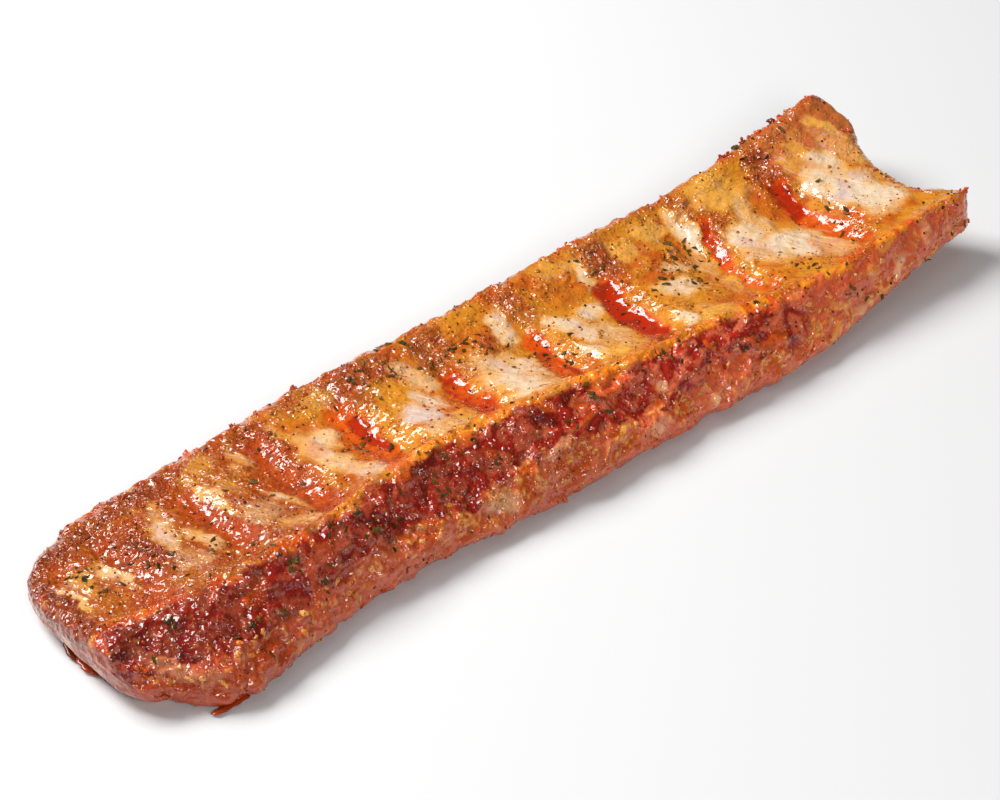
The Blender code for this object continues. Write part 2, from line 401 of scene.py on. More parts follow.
# Pools of marinade in the valleys: half width, strength, then x at each across.
POOLS = (
    (4.5, 0.35, ((54, -161), (40, -160), (24, -158), (8, -164))),
    (4.6, 0.60, ((50, -128), (36, -127), (26, -126), (14, -124))),
    (4.4, 0.60, ((56, -93), (42, -93), (30, -95), (18, -93), (6, -95))),
    (2.8, 0.95, ((44, -58), (30, -59), (18, -59))),
    (6.0, 0.45, ((52, -60), (30, -60), (4, -64))),
    (4.2, 0.72, ((42, -17), (28, -20), (16, -19), (2, -23))),
    (4.0, 0.62, ((42, 20), (30, 17), (20, 15), (4, 13))),
    (4.8, 1.00, ((46, 59), (35, 56), (24, 55), (14, 55), (4, 50))),
    (2.2, 0.80, ((50, 110), (42, 107), (31, 104))),
    (2.2, 0.40, ((31, 104), (20, 102.5), (8, 104))),
    (3.6, 1.00, ((50, 145), (44, 144), (34, 143))),
    (3.2, 0.45, ((34, 143), (30, 145), (20, 147), (8, 149))),
)

# Wet banks beside the pools, which catch the light: x and across at both ends, then width
# and steepness.
BANKS = (
    (-49, 9, -50, 28, 6.5, 0.40), (-84, 14, -87.5, 33, 7.0, 0.38),
    (-11.5, 10, -12.5, 31, 4.8, 0.42),
    (26, 11, 24, 38, 5.5, 0.40), (60, 4, 65, 38, 6.0, 0.42), (105, 11, 108, 37, 5.5, 0.42),
    (154, 14, 150, 42, 9.0, 0.42), (-120, 12, -120, 26, 5.0, 0.36), (-61, 70, -53, 66, 5.0, 0.2),
)

# Smears of orange marinade: x, across, half sizes, tilt, strength.
SMEARS = (
    (-165, 6, 5, 6, 0, 0.8), (-96, 6, 5, 7, 0, 0.7), (-65, 14, 4.5, 20, 0, 0.75),
    (-24, 6, 5, 8, 0, 0.7), (-27, 30, 2.5, 18, 6, 0.55), (13, 5, 4, 6, 0, 0.7),
    (90, 9, 9, 6, 0, 0.7), (47, 7, 7, 6, 0, 0.6), (140, 7, 9, 5, 0, 0.7),
    (88, 43, 12, 3.5, 12, 0.55), (-5, 48, 9, 8, 0, 0.6), (44, 52, 9, 6, 0, 0.5),
    (-75, 48, 8, 4, 0, 0.45), (-128, 54, 3, 8, 0, 0.5), (-150, 50, 4, 8, 0, 0.5),
    (137, 45, 6, 9, 0, 0.6), (114, 45, 6, 5, 0, 0.6), (160, 17, 4, 7, 20, 0.5),
    (155, 30, 3, 12, 0, 0.4),
)

# Browned, rough lean meat that shows through on the bone side: as the smears.
LEAN = (
    (-187, 34, 2.2, 20, 0, 0.8), (-157, 38, 6, 14, 10, 0.9), (-172, 60, 14, 6, 0, 0.8),
    (-140, 62, 17, 5, 0, 0.7), (-148, 26, 4, 8, 0, 0.45), (-92, 54, 5, 10, 0, 0.7),
    (-92, 38, 4, 12, 0, 0.5), (-68, 62, 10, 5, 0, 0.6), (-50, 58, 9, 11, 0, 0.9),
    (-36, 58, 8, 7, 0, 0.8), (-15, 54, 6, 13, -8, 0.85), (-10, 36, 4, 4, 0, 0.6),
    (5, 42, 6, 4, 0, 0.6), (24, 56, 4, 10, 10, 0.6), (66, 56, 5, 10, 0, 0.85),
    (108, 58, 3, 8, 8, 0.7), (114, 46, 5, 6, 0, 0.55), (90, 66, 22, 2.5, 0, 0.5),
    (145, 56, 5, 12, 0, 0.75), (160, 64, 14, 3, 0, 0.4), (174, 50, 3, 14, 25, 0.4),
    (182, 34, 2.0, 24, 0, 0.35), (-112, 16, 7, 7, 0, 0.3), (88, 38, 10, 3, 15, 0.5),
)


def near_patch(x, w, patch):
    """How far inside a patch each place is, from 1 at its middle to 0 well outside it."""
    middle_x, middle_w, half_x, half_w, tilt = patch[:5]
    turn = math.radians(tilt)
    dx, dw = x - middle_x, w - middle_w
    a = (dx * math.cos(turn) + dw * math.sin(turn)) / half_x
    b = (-dx * math.sin(turn) + dw * math.cos(turn)) / half_w
    return 1.0 - step_up(0.45, 1.75, np.hypot(a, b) / 1.1)


def near_pool(x, w, pool):
    half, strength, places = pool
    places = sorted(places)
    ws = np.array([place[0] for place in places], float)
    xs = np.array([place[1] for place in places], float)
    middle = np.interp(w, ws, xs)
    inside = step_up(ws[0] - 5, ws[0] + 1, w) * (1 - step_up(ws[-1] - 3, ws[-1] + 5, w))
    return strength * inside * (1.0 - step_up(0.55, 1.35, np.abs(x - middle) / half))


def srgb(*values):
    c = np.array(values, float) / 255.0
    return np.where(c <= 0.04045, c / 12.92, ((c + 0.055) / 1.055) ** 2.4)


TONES = {
    "yellow": srgb(228, 140, 30),
    "pale_yellow": srgb(234, 176, 84),
    "orange": srgb(212, 98, 10),
    "cream": srgb(236, 212, 182),
    "lilac": srgb(220, 194, 186),
    "pink": srgb(222, 158, 122),
    "sauce": srgb(170, 34, 0),
    "smear": srgb(206, 78, 2),
    "lean": srgb(164, 56, 16),
    "glaze": srgb(190, 82, 40),
    "crimson": srgb(146, 22, 10),
    "blood": srgb(92, 6, 4),
    # The pale pink of the flank's seams, also used as a painted reflection on the wet flank.
    "pale_seam_and_painted_reflection": srgb(200, 100, 66),
    "fat": srgb(240, 164, 70),
    "salmon": srgb(206, 92, 56),
    "orange_brown": srgb(196, 76, 18),
    "brown": srgb(108, 34, 8),
    "pale_fat": srgb(234, 172, 124),
}


def blend(colour, tone, share):
    return colour + (TONES[tone] - colour) * share[:, None]


# Pale seams in the flank: width, then x and across along the seam.
SEAMS = (
    (1.1, ((-135, -2), (-134, -8), (-130, -15), (-127, -22))),
    (0.8, ((-157, -7), (-155, -14))),
    (0.9, ((-98, -3), (-94, -9), (-92, -13))),
    (0.8, ((-170, -13), (-166, -20), (-163, -27))),
    (0.8, ((-152, -26), (-140, -25), (-128, -27))),
    (0.7, ((-112, -20), (-110, -26))),
    (0.8, ((-12, -29), (-2, -24), (8, -22))),
    (0.8, ((122, -12), (130, -20), (140, -26))),
    (0.9, ((149, -8), (151, -16), (152, -22))),
    (0.7, ((167, -6), (169, -13))),
)

# Lumps of pale fat in the flank, as the patches above.
FAT = (
    (-41, -25, 4.5, 2.4, 0, 0.9), (36, -14, 2.2, 1.8, 0, 0.8), (27, -24, 3.0, 2.0, 0, 0.6),
    (55, -25, 3.0, 2.0, 20, 0.6), (127, -24, 4.0, 2.0, -20, 0.7), (151, -17, 1.8, 5.0, -10, 0.8),
    (166, -10, 1.5, 4.0, 0, 0.5), (-178, -17, 5.0, 3.0, -30, 0.6), (-170, -22, 4.0, 1.6, -30, 0.6),
    (-12, -17, 3.5, 1.8, 20, 0.5),
)


def near_seam(x, w, seam):
    width, places = seam
    nearest = np.full(x.shape, 1e9)
    for (ax, aw), (bx, bw) in zip(places, places[1:]):
        run = np.hypot(bx - ax, bw - aw)
        ux, uw = (bx - ax) / run, (bw - aw) / run
        place = np.clip((x - ax) * ux + (w - aw) * uw, 0, run)
        nearest = np.minimum(nearest, np.hypot(x - ax - ux * place, w - aw - uw * place))
    return 1.0 - step_up(0.5, 1.4, nearest / width)


def banks_of(x, w):
    """Height of the marinade's surface where it climbs a bank, in millimetres."""
    total = np.zeros(x.shape)
    for low_x, low_w, high_x, high_w, width, steep in BANKS:
        place = (w - low_w) / (high_w - low_w)
        along = (x - low_x - place * (high_x - low_x)) / width
        within = step_up(-0.12, 0.12, place) * (1 - step_up(0.88, 1.12, place))
        rise = step_up(-0.5, 0.5, along) * (1 - step_up(0.8, 3.0, along))
        total = total + within * steep * width * rise
    return total


def shaken(p, x, w):
    """The places with their patterns' edges made uneven."""
    wx = x + 2.6 * noise(p, 10, 1) + 1.3 * noise(p, 3.6, 2)
    ww = w + 2.6 * noise(p, 10, 3) + 1.3 * noise(p, 3.6, 4)
    return wx, ww


def zones_of(p, x, w):
    """Masks of what the surface is made of at each point."""
    wx, ww = shaken(p, x, w)
    z = {}
    z["under"] = step_up(TOP_WIDTH + EDGE_WIDTH - 2, TOP_WIDTH + EDGE_WIDTH + 8, w)
    border = w + 2.2 * noise(p, 12, 5) + 1.4 * noise(p, 4.5, 7)
    z["flank"] = (1 - step_up(-2.2, 1.6, border)) * (1 - z["under"])
    z["edge"] = step_up(TOP_WIDTH - 6, TOP_WIDTH + 3, ww) * (1 - z["under"])
    z["top"] = np.clip(1 - z["under"] - z["flank"] - z["edge"], 0, 1)
    pool = np.zeros(x.shape)
    for item in POOLS:
        pool = np.maximum(pool, near_pool(0.5 * (x + wx), 0.5 * (w + ww), item))
    z["pool"] = pool * z["top"]
    z["smear"] = np.zeros(x.shape)
    for item in SMEARS:
        z["smear"] = np.maximum(z["smear"], item[5] * near_patch(wx, ww, item))
    z["lean"] = np.zeros(x.shape)
    for item in LEAN:
        z["lean"] = np.maximum(z["lean"], item[5] * near_patch(wx, ww, item))
    broken = 0.5 + 0.5 * layered(p, (2.4, 2.4, 2.4), 2, 6)
    z["lean"] = np.clip(z["lean"] * step_up(0.15, 0.5, broken + 0.35 * z["lean"]), 0, 1)
    z["rough"] = np.clip(1.3 * z["lean"] + step_up(-0.05, 0.5, layered(p, 12, 2, 8)), 0, 1)
    z["pale"] = np.zeros(x.shape)
    for item in PALE:
        z["pale"] = np.maximum(z["pale"], item[5] * near_patch(wx, ww, item))
    z["pale"] = z["pale"] * (1 - z["pool"]) * z["top"]
    z["bank"] = banks_of(x, w + 1.5 * noise(p, 5, 65))
    z["height"] = np.clip(1 + w / FLANK_WIDTH, 0, 1)
    return z


def colours_of(p, x, w, z):
    """Two colours for each point, and the share of the second, from its zones and from noise."""
    count = len(x)
    q = stirred(p, 4.0, 8, 70)
    f = stirred(q, 1.6, 3.2, 73)
    start = np.tile(TONES["yellow"], (count, 1))
    left = 1 - step_up(-105, -60, x + 8 * noise(p, 20, 27))
    top = blend(start, "orange", step_up(-0.1, 0.4, layered(q, 14, 3, 20) + 0.25 * left))
    smear = z["smear"] + 0.30 * left * step_up(-0.1, 0.4, noise(q, 14, 21))
    top = blend(top, "smear", np.clip(smear, 0, 1))
    lean = blend(start, "lean", np.ones(count))
    lean = blend(lean, "glaze", 0.8 * step_up(0.0, 0.35, noise(f, 8, 28)))
    lean = blend(lean, "brown", 0.6 * step_up(0.0, 0.45, noise(f, 5.0, 24)))
    top = top + (lean - top) * (z["lean"] * (1 - 0.6 * z["smear"]))[:, None]
    margin = 1 - step_up(-187.5, -184.5, x + 0.8 * noise(q, 4, 49))
    top = top + (lean - top) * (0.8 * margin)[:, None]
    back = step_up(152, 172, x + 0.25 * w + 4 * noise(p, 12, 63)) * step_up(38, 52, w)
    top = blend(top, "salmon", 0.6 * back)
    top = top * (0.86 - 0.26 * left)[:, None] * (0.90, 0.97, 1.0)
    top = top * (1 - left[:, None] * (0.02, 0.26, 0.38))
    deep = blend(start, "smear", np.ones(count))
    deep = blend(deep, "sauce", step_up(0.45, 0.9, z["pool"] + 0.25 * noise(q, 7, 26)))
    deep = blend(deep, "orange_brown", 0.8 * left)
    deep = blend(deep, "brown", 0.45 * step_up(0.1, 0.5, noise(f, 5, 46)))
    deep = deep * (1 - 0.3 * left)[:, None]
    ridge = 0.7 * (1 - step_up(1.0, 4.5, w + 1.5 * noise(q, 5, 48)))
    top = blend(top, "smear", ridge * step_up(-0.2, 0.4, noise(q, 14, 40)))
    top = blend(top, "yellow", ridge * step_up(0.0, 0.3, noise(f, 6, 47)))
    top = top + (deep - top) * step_up(0.0, 0.55, z["pool"])[:, None]
    over_top = blend(start, "pale_yellow", np.ones(count))
    wx, ww = shaken(p, x, w)
    names = {"c": "cream", "l": "lilac", "p": "pink", "y": "pale_yellow"}
    for item in PALE:
        over_top = blend(over_top, names[item[6]], step_up(0.25, 0.75, near_patch(wx, ww, item)))
    streak = step_up(0.05, 0.5, noise(q, (3.4, 15, 15), 81))
    over_top = blend(over_top, "pale_yellow", 0.55 * streak)
    over_top = over_top * (0.91, 0.90, 0.87)
    share_top = z["pale"] * (1 - 0.2 * left) * (1 - step_up(0.1, 0.6, z["pool"])) * (1 - ridge)

    high = z["height"]
    right = step_up(80, 125, x + 10 * noise(p, 18, 30))
    flank = blend(start, "salmon", np.ones(count))
    flank = blend(flank, "orange_brown", step_up(-0.2, 0.35, noise(q, 12, 31)))
    level = high + 0.12 * noise(q, (18, 9, 9), 32) + 0.05 * noise(q, 4, 33)
    low = 1 - step_up(0.22, 0.36, level)
    flank = blend(flank, "salmon", 0.7 * low)
    smear = 0.7 * step_up(0.05, 0.35, noise(f, 10, 35)) * step_up(0.4, 0.6, high)
    flank = blend(flank, "smear", smear)
    flank = blend(flank, "salmon", 0.75 * right)
    crest = ridged(q, (13, 4.0, 4.0), 2, 36)
    band = step_up(0.20, 0.34, level) * (1 - step_up(0.50, 0.62, level))
    flank = blend(flank, "fat", 0.9 * band * step_up(0.66, 0.86, crest))
    flank = blend(flank, "fat", right * 0.55 * step_up(0.25, 0.55, noise(q, (4.0, 12, 12), 38)))
    rim_line = step_up(0.86, 1.0, high + 0.06 * noise(q, 5, 39))
    flank = blend(flank, "smear", 0.8 * rim_line * step_up(-0.3, 0.2, noise(q, 14, 40)))
    lit = step_up(-160, -120, x)
    flank = blend(flank, "yellow", lit * rim_line * step_up(-0.3, 0.2, noise(f, 6, 47)))
    for seam in SEAMS:
        flank = blend(flank, "pale_seam_and_painted_reflection", 0.85 * near_seam(wx, ww, seam))
    for item in FAT:
        flank = blend(flank, "pale_fat", item[5] * near_patch(wx, ww, item))
    over_flank = blend(start, "crimson", np.ones(count))
    over_flank = blend(over_flank, "blood", 0.8 * step_up(0.0, 0.45, noise(f, 7, 34)))
    # Pinkish milky islands on the upper flank: a painted reflection of the white floor in the wet
    # film.
    film = step_up(0.12, 0.18, noise(f, (7, 4, 4), 29))
    over_flank = blend(over_flank, "pale_seam_and_painted_reflection", (0.35 + 0.25 * step_up(-80, 20, x)) * film)
    bright = step_up(-25, 45, x + 8 * noise(p, 20, 64))
    dim = 1 - 0.22 * (1 - step_up(-150, -105, x))
    middle = step_up(-80, -50, x) * (1 - step_up(60, 90, x)) * step_up(0.86, 1.0, high)
    flank = blend(flank, "yellow", 0.55 * middle)
    flank = flank * (dim * (0.95 + 0.26 * bright) * (1 + 0.2 * middle))[:, None]
    flank = flank * (1 - (1 - step_up(-150, -90, x))[:, None] * (0.0, 0.22, 0.26))
    over_flank = over_flank * (dim * (0.98 + 0.40 * bright))[:, None]
    share_flank = step_up(0.40, 0.56, level) * (1 - 0.6 * right) * (1 - 0.25 * bright)
    share_flank = share_flank * (1 - 0.6 * step_up(0.1, 0.35, noise(f, 13, 37)))
    share_flank = share_flank * (1 - 0.6 * middle)
    share_flank = share_flank * (1 - 0.8 * rim_line * step_up(-0.3, 0.2, noise(q, 14, 40)))
    for item in FAT:
        share_flank = share_flank * (1 - near_patch(wx, ww, item))

    edge = blend(start, "orange_brown", np.ones(count))
    edge = blend(edge, "brown", 0.7 * step_up(0.0, 0.4, noise(p, 4, 42)))
    over_edge = blend(start, "crimson", np.ones(count))
    under = blend(start, "salmon", np.ones(count))
    under = blend(under, "orange_brown", 0.7 * step_up(-0.1, 0.4, layered(p, 14, 3, 44)))
    tip = 1 - step_up(-187, -179, x)
    under = blend(under, "brown", 0.55 * tip)
    over_under = blend(start, "pale_fat", np.ones(count))
    names = ("top", "flank", "edge", "under")
    weight = sum(z[name] for name in names)[:, None]
    shares = (
        share_top,
        share_flank,
        step_up(-0.1, 0.4, noise(p, 6, 41)),
        step_up(-0.2, 0.5, layered(p, (30, 12, 12), 2, 43)) * (1 - 0.5 * tip),
    )
    first = sum(z[n][:, None] * c for n, c in zip(names, (top, flank, edge, under)))
    second = sum(
        z[n][:, None] * c for n, c in zip(names, (over_top, over_flank, over_edge, over_under))
    )
    share = sum(z[n] * c for n, c in zip(names, shares))
    return first / weight, second / weight, share / weight[:, 0]


def relief_of(p, x, w, z):
    """Height over the smooth body, in millimetres."""
    smooth = 1 - 0.6 * z["pool"]
    top = 0.55 * noise(p, 10, 50) + 0.50 * noise(p, 5.2, 51)
    top = top + 0.34 * noise(p, 2.9, 52) * (0.4 + 0.6 * z["rough"])
    top = top * smooth * (1 - 0.35 * z["pale"])
    top = top + 0.35 * z["pale"] - 0.25 * z["pool"]
    top = top + z["lean"] * (0.55 * noise(p, 4.5, 53) + 0.5 * ridged(p, 3.2, 2, 54) - 0.2)
    band = step_up(0.2, 0.34, z["height"]) * (1 - step_up(0.52, 0.66, z["height"]))
    q = stirred(p, 4.0, 8, 70)
    f = stirred(q, 1.6, 3.2, 73)
    right = step_up(80, 125, x + 10 * noise(p, 18, 30))
    flank = 1.5 * noise(q, (22, 10, 10), 55) + 0.9 * noise(f, (9, 6, 6), 56)
    flank = flank + 0.30 * noise(f, 3.4, 57)
    flank = flank + 0.8 * (ridged(f, (12, 8, 8), 2, 62) - 0.6) * step_up(0.4, 0.6, z["height"])
    flank = flank + band * (1.2 * ridged(q, (13, 4.0, 4.0), 2, 36) - 0.8)
    flank = flank * (1 - 0.6 * right)
    wx, ww = shaken(p, x, w)
    for seam in SEAMS:
        flank = flank + 0.5 * near_seam(wx, ww, seam)
    for item in FAT:
        flank = flank + 0.9 * item[5] * near_patch(wx, ww, item)
    edge = 0.9 * noise(p, 6, 58) + 0.5 * noise(p, 2.6, 59)
    under = 0.4 * noise(p, 12, 60) + 0.2 * noise(p, 5, 61)
    total = z["top"] * top + z["flank"] * flank + z["edge"] * edge + z["under"] * under
    return total / (z["top"] + z["flank"] + z["edge"] + z["under"])


def grid_normals(grid):
    """Outward normals of a grid of rings."""
    ahead = np.gradient(grid, axis=0)
    around = np.roll(grid, -1, axis=1) - np.roll(grid, 1, axis=1)
    normal = np.cross(ahead, around)
    size = np.linalg.norm(normal, axis=2, keepdims=True)
    return normal / np.maximum(size, 1e-9)


def shaped_body():
    """The body's rings with their relief, its normals, places and zones."""
    grid = rack_rings()
    x = grid[:, :, 0]
    w = np.repeat(across_measure()[None, :], len(grid), axis=0)
    normal = grid_normals(grid)
    p = grid.reshape(-1, 3)
    flat_x, flat_w = x.reshape(-1), w.reshape(-1)
    z = zones_of(p, flat_x, flat_w)
    height = relief_of(p, flat_x, flat_w, z)
    colours = colours_of(p, flat_x, flat_w, z)
    cap = np.ones(len(grid))
    cap[:CAP_RINGS] = np.linspace(0.0, 0.8, CAP_RINGS)
    cap[-CAP_RINGS:] = np.linspace(0.8, 0.0, CAP_RINGS)
    height = height.reshape(x.shape) * cap[:, None]
    on_table = step_up(0.0, 2.5, grid[:, :, 2])
    height = height * mix(0.15, 1.0, on_table)
    shaped = grid + normal * height[:, :, None]
    shaped[:, :, 2] = np.maximum(shaped[:, :, 2], 0.0)
    return shaped, grid_normals(shaped), x, w, z, colours


def mesh_of(name, points, faces, material, smooth=True):
    """A mesh object; faces holds one array for each number of corners."""
    mesh = bpy.data.meshes.new(name)
    corners = np.concatenate([group.reshape(-1) for group in faces])
    sizes = np.concatenate([np.full(len(group), group.shape[1]) for group in faces])
    mesh.vertices.add(len(points))
    mesh.vertices.foreach_set("co", np.ascontiguousarray(points, np.float32).reshape(-1))
    mesh.loops.add(len(corners))
    mesh.loops.foreach_set("vertex_index", corners.astype(np.int32))
    mesh.polygons.add(len(sizes))
    mesh.polygons.foreach_set("loop_start", (np.cumsum(sizes) - sizes).astype(np.int32))
    mesh.update(calc_edges=True)
    if smooth:
        mesh.shade_smooth()
    mesh.materials.append(material)
    piece = bpy.data.objects.new(name, mesh)
    bpy.context.scene.collection.objects.link(piece)
    return piece


def body_faces(rings):
    ring = (np.arange(rings - 1) * AROUND)[:, None]
    j = np.arange(AROUND)[None]
    k = (j + 1) % AROUND
    after = ring + AROUND
    return np.stack([ring + j, ring + k, after + k, after + j], axis=-1).reshape(-1, 4)


def end_faces(points, first, flip):
    """Triangles across an end loop, from the flank to the back edge."""
    loop = list(range(first, first + AROUND))
    y = points[first : first + AROUND, 1]
    start = int(np.argmin(y))
    loop = loop[start:] + loop[:start]
    ys = list(y[start:]) + list(y[:start])
    turn = int(np.argmax(ys))
    upper = list(zip(loop, ys))[1 : turn + 1]
    lower = list(zip(loop, ys))[:turn:-1]
    faces = []
    a, b = loop[0], upper.pop(0)[0]
    while upper or lower:
        if not lower or (upper and upper[0][1] < lower[0][1]):
            new = upper.pop(0)[0]
            faces.append((a, b, new))
            b = new
        else:
            new = lower.pop(0)[0]
            faces.append((a, b, new))
            a = new
    return [face[::-1] for face in faces] if flip else faces


def add_layer(mesh, name, kind, values):
    layer = mesh.attributes.new(name, kind, "POINT")
    field = "color" if kind == "FLOAT_COLOR" else "value"
    layer.data.foreach_set(field, np.ascontiguousarray(values, np.float32).reshape(-1))


def with_alpha(colour):
    return np.column_stack([np.clip(colour, 0.0, 1.0), np.ones(len(colour))])


def make_body(material):
    shaped, normal, x, w, z, colours = shaped_body()
    points = shaped.reshape(-1, 3) * MM
    ends = end_faces(points, 0, False)
    ends += end_faces(points, (len(shaped) - 1) * AROUND, True)
    body = mesh_of("rack_meat", points, [body_faces(len(shaped)), np.array(ends)], material)
    work = bmesh.new()
    work.from_mesh(body.data)
    bmesh.ops.recalc_face_normals(work, faces=work.faces)
    work.to_mesh(body.data)
    work.free()
    first, second, share = colours
    add_layer(body.data, "tint", "FLOAT_COLOR", with_alpha(first))
    add_layer(body.data, "over", "FLOAT_COLOR", with_alpha(second))
    add_layer(body.data, "share", "FLOAT", share)
    for name in ("pool", "pale", "bank"):
        add_layer(body.data, name, "FLOAT", z[name])
    each_x, each_w = x.reshape(-1), w.reshape(-1)
    left = 1 - step_up(-120, -70, each_x)
    right = step_up(80, 125, each_x)
    grainy = np.clip(0.25 + 0.75 * z["rough"] + 0.4 * left, 0, 1)
    grainy = z["top"] * (1 - 0.8 * z["pale"]) * grainy
    grainy = grainy * (1 - 0.6 * step_up(152, 172, each_x) * step_up(38, 52, each_w))
    grainy = grainy + 0.32 * (1 - 0.5 * right) * z["flank"] + z["edge"] + 0.5 * z["under"]
    wrinkled = z["flank"] * step_up(0.25, 0.5, z["height"]) * (1 - 0.6 * right)
    folded = np.clip(0.9 * left + 0.6 * z["lean"] + 0.15, 0, 1)
    wrinkled = wrinkled + z["top"] * (1 - z["pale"]) * folded
    wrinkled = wrinkled * (1 - 0.6 * z["pool"])
    add_layer(body.data, "wrinkled", "FLOAT", np.clip(wrinkled, 0, 1))
    add_layer(body.data, "grainy", "FLOAT", np.clip(grainy * (1 - z["pool"]), 0, 1))
    return body, shaped, normal, x, w, z, colours


# ---------------------------------------------------------------- materials


class Nodes:
    """Short calls for building a material's nodes."""

    def __init__(self, name):
        self.material = bpy.data.materials.new(name)
        self.material.use_nodes = True
        self.tree = self.material.node_tree
        self.shader = self.tree.nodes["Principled BSDF"]
        self.place = self.make("ShaderNodeTexCoord").outputs["Object"]
        self.mm = self.vector("SCALE", self.place, factor=1000.0)

    def make(self, kind, **settings):
        node = self.tree.nodes.new(kind)
        for name, value in settings.items():
            setattr(node, name, value)
        return node

    def put(self, socket, value):
        if isinstance(value, bpy.types.NodeSocket):
            self.tree.links.new(value, socket)
        else:
            socket.default_value = value

    def vector(self, operation, a, b=None, factor=None):
        node = self.make("ShaderNodeVectorMath", operation=operation)
        self.put(node.inputs[0], a)
        if b is not None:
            self.put(node.inputs[1], b)
        if factor is not None:
            node.inputs["Scale"].default_value = factor
        return node.outputs["Vector"]

    def times(self, a, b):
        return self.math("MULTIPLY", a, b)

    def math(self, operation, a, b=0.0, c=None, clamp=False):
        node = self.make("ShaderNodeMath", operation=operation, use_clamp=clamp)
        self.put(node.inputs[0], a)
        self.put(node.inputs[1], b)
        if c is not None:
            self.put(node.inputs[2], c)
        return node.outputs[0]

    def step(self, value, low, high, to_low=0.0, to_high=1.0):
        node = self.make("ShaderNodeMapRange", interpolation_type="SMOOTHSTEP")
        self.put(node.inputs["Value"], value)
        node.inputs["From Min"].default_value = low
        node.inputs["From Max"].default_value = high
        node.inputs["To Min"].default_value = to_low
        node.inputs["To Max"].default_value = to_high
        return node.outputs["Result"]

    def attribute(self, name, socket="Fac"):
        return self.make("ShaderNodeAttribute", attribute_name=name).outputs[socket]

    def noise(self, size, detail=3.0, roughness=0.55, distortion=0.0, stretch=None, at=None):
        """Noise with lumps about size millimetres across."""
        place = at or self.mm
        if stretch is not None:
            place = self.vector("MULTIPLY", place, stretch)
        node = self.make("ShaderNodeTexNoise")
        self.put(node.inputs["Vector"], place)
        node.inputs["Scale"].default_value = 1.0 / size
        node.inputs["Detail"].default_value = detail
        node.inputs["Roughness"].default_value = roughness
        node.inputs["Distortion"].default_value = distortion
        return node.outputs["Fac"]

    def cells(self, size, feature="F1", smooth=0.0):
        node = self.make("ShaderNodeTexVoronoi", feature=feature)
        self.put(node.inputs["Vector"], self.mm)
        node.inputs["Scale"].default_value = 1.0 / size
        if feature == "SMOOTH_F1":
            node.inputs["Smoothness"].default_value = smooth
        return node

    def mix(self, share, a, b):
        node = self.make("ShaderNodeMix", data_type="RGBA", blend_type="MIX")
        self.put(node.inputs["Factor"], share)
        sockets = [s for s in node.inputs if s.type == "RGBA"]
        self.put(sockets[0], a)
        self.put(sockets[1], b)
        return [s for s in node.outputs if s.type == "RGBA"][0]

    def bump(self, height):
        """Height is in millimetres."""
        node = self.make("ShaderNodeBump")
        node.inputs["Strength"].default_value = 1.0
        node.inputs["Distance"].default_value = MM
        self.put(node.inputs["Height"], height)
        return node.outputs["Normal"]

    def red_of(self, colour):
        node = self.make("ShaderNodeSeparateColor")
        self.put(node.inputs[0], colour)
        return node.outputs[0]

    def set(self, **values):
        for name, value in values.items():
            self.put(self.shader.inputs[name.replace("_", " ")], value)
        return self.material


def rgba(values):
    return (*[float(v) for v in srgb(*values)], 1.0)


def spots(n, size, radius, share, seed):
    """Small separate spots: where a cell's own number is under share."""
    node = n.cells(size)
    shifted = n.vector("ADD", n.mm, (seed * 3.7, seed * 1.3, seed * 2.1))
    n.put(node.inputs["Vector"], shifted)
    chosen = n.math("LESS_THAN", n.red_of(node.outputs["Color"]), share)
    near = n.step(node.outputs["Distance"], radius * 1.35, radius * 0.75)
    return n.times(chosen, near)


def fibres_of(n):
    """Noise drawn out along the membrane's fibres."""
    turned = n.make("ShaderNodeMapping")
    turned.inputs["Rotation"].default_value = (0.0, 0.0, math.radians(-28.0))
    n.put(turned.inputs["Vector"], n.mm)
    return n.noise(1.6, 5.0, 0.65, 0.4, (1.0, 0.10, 0.5), turned.outputs["Vector"])


# Dust on the surface: size of a cell, radius, share of the cells, seed, strength, colour.
DUSTS = (
    (1.5, 0.20, 0.40, 1.0, 0.85, (84, 22, 6)),
    (1.1, 0.16, 0.30, 2.0, 0.90, (206, 70, 8)),
)


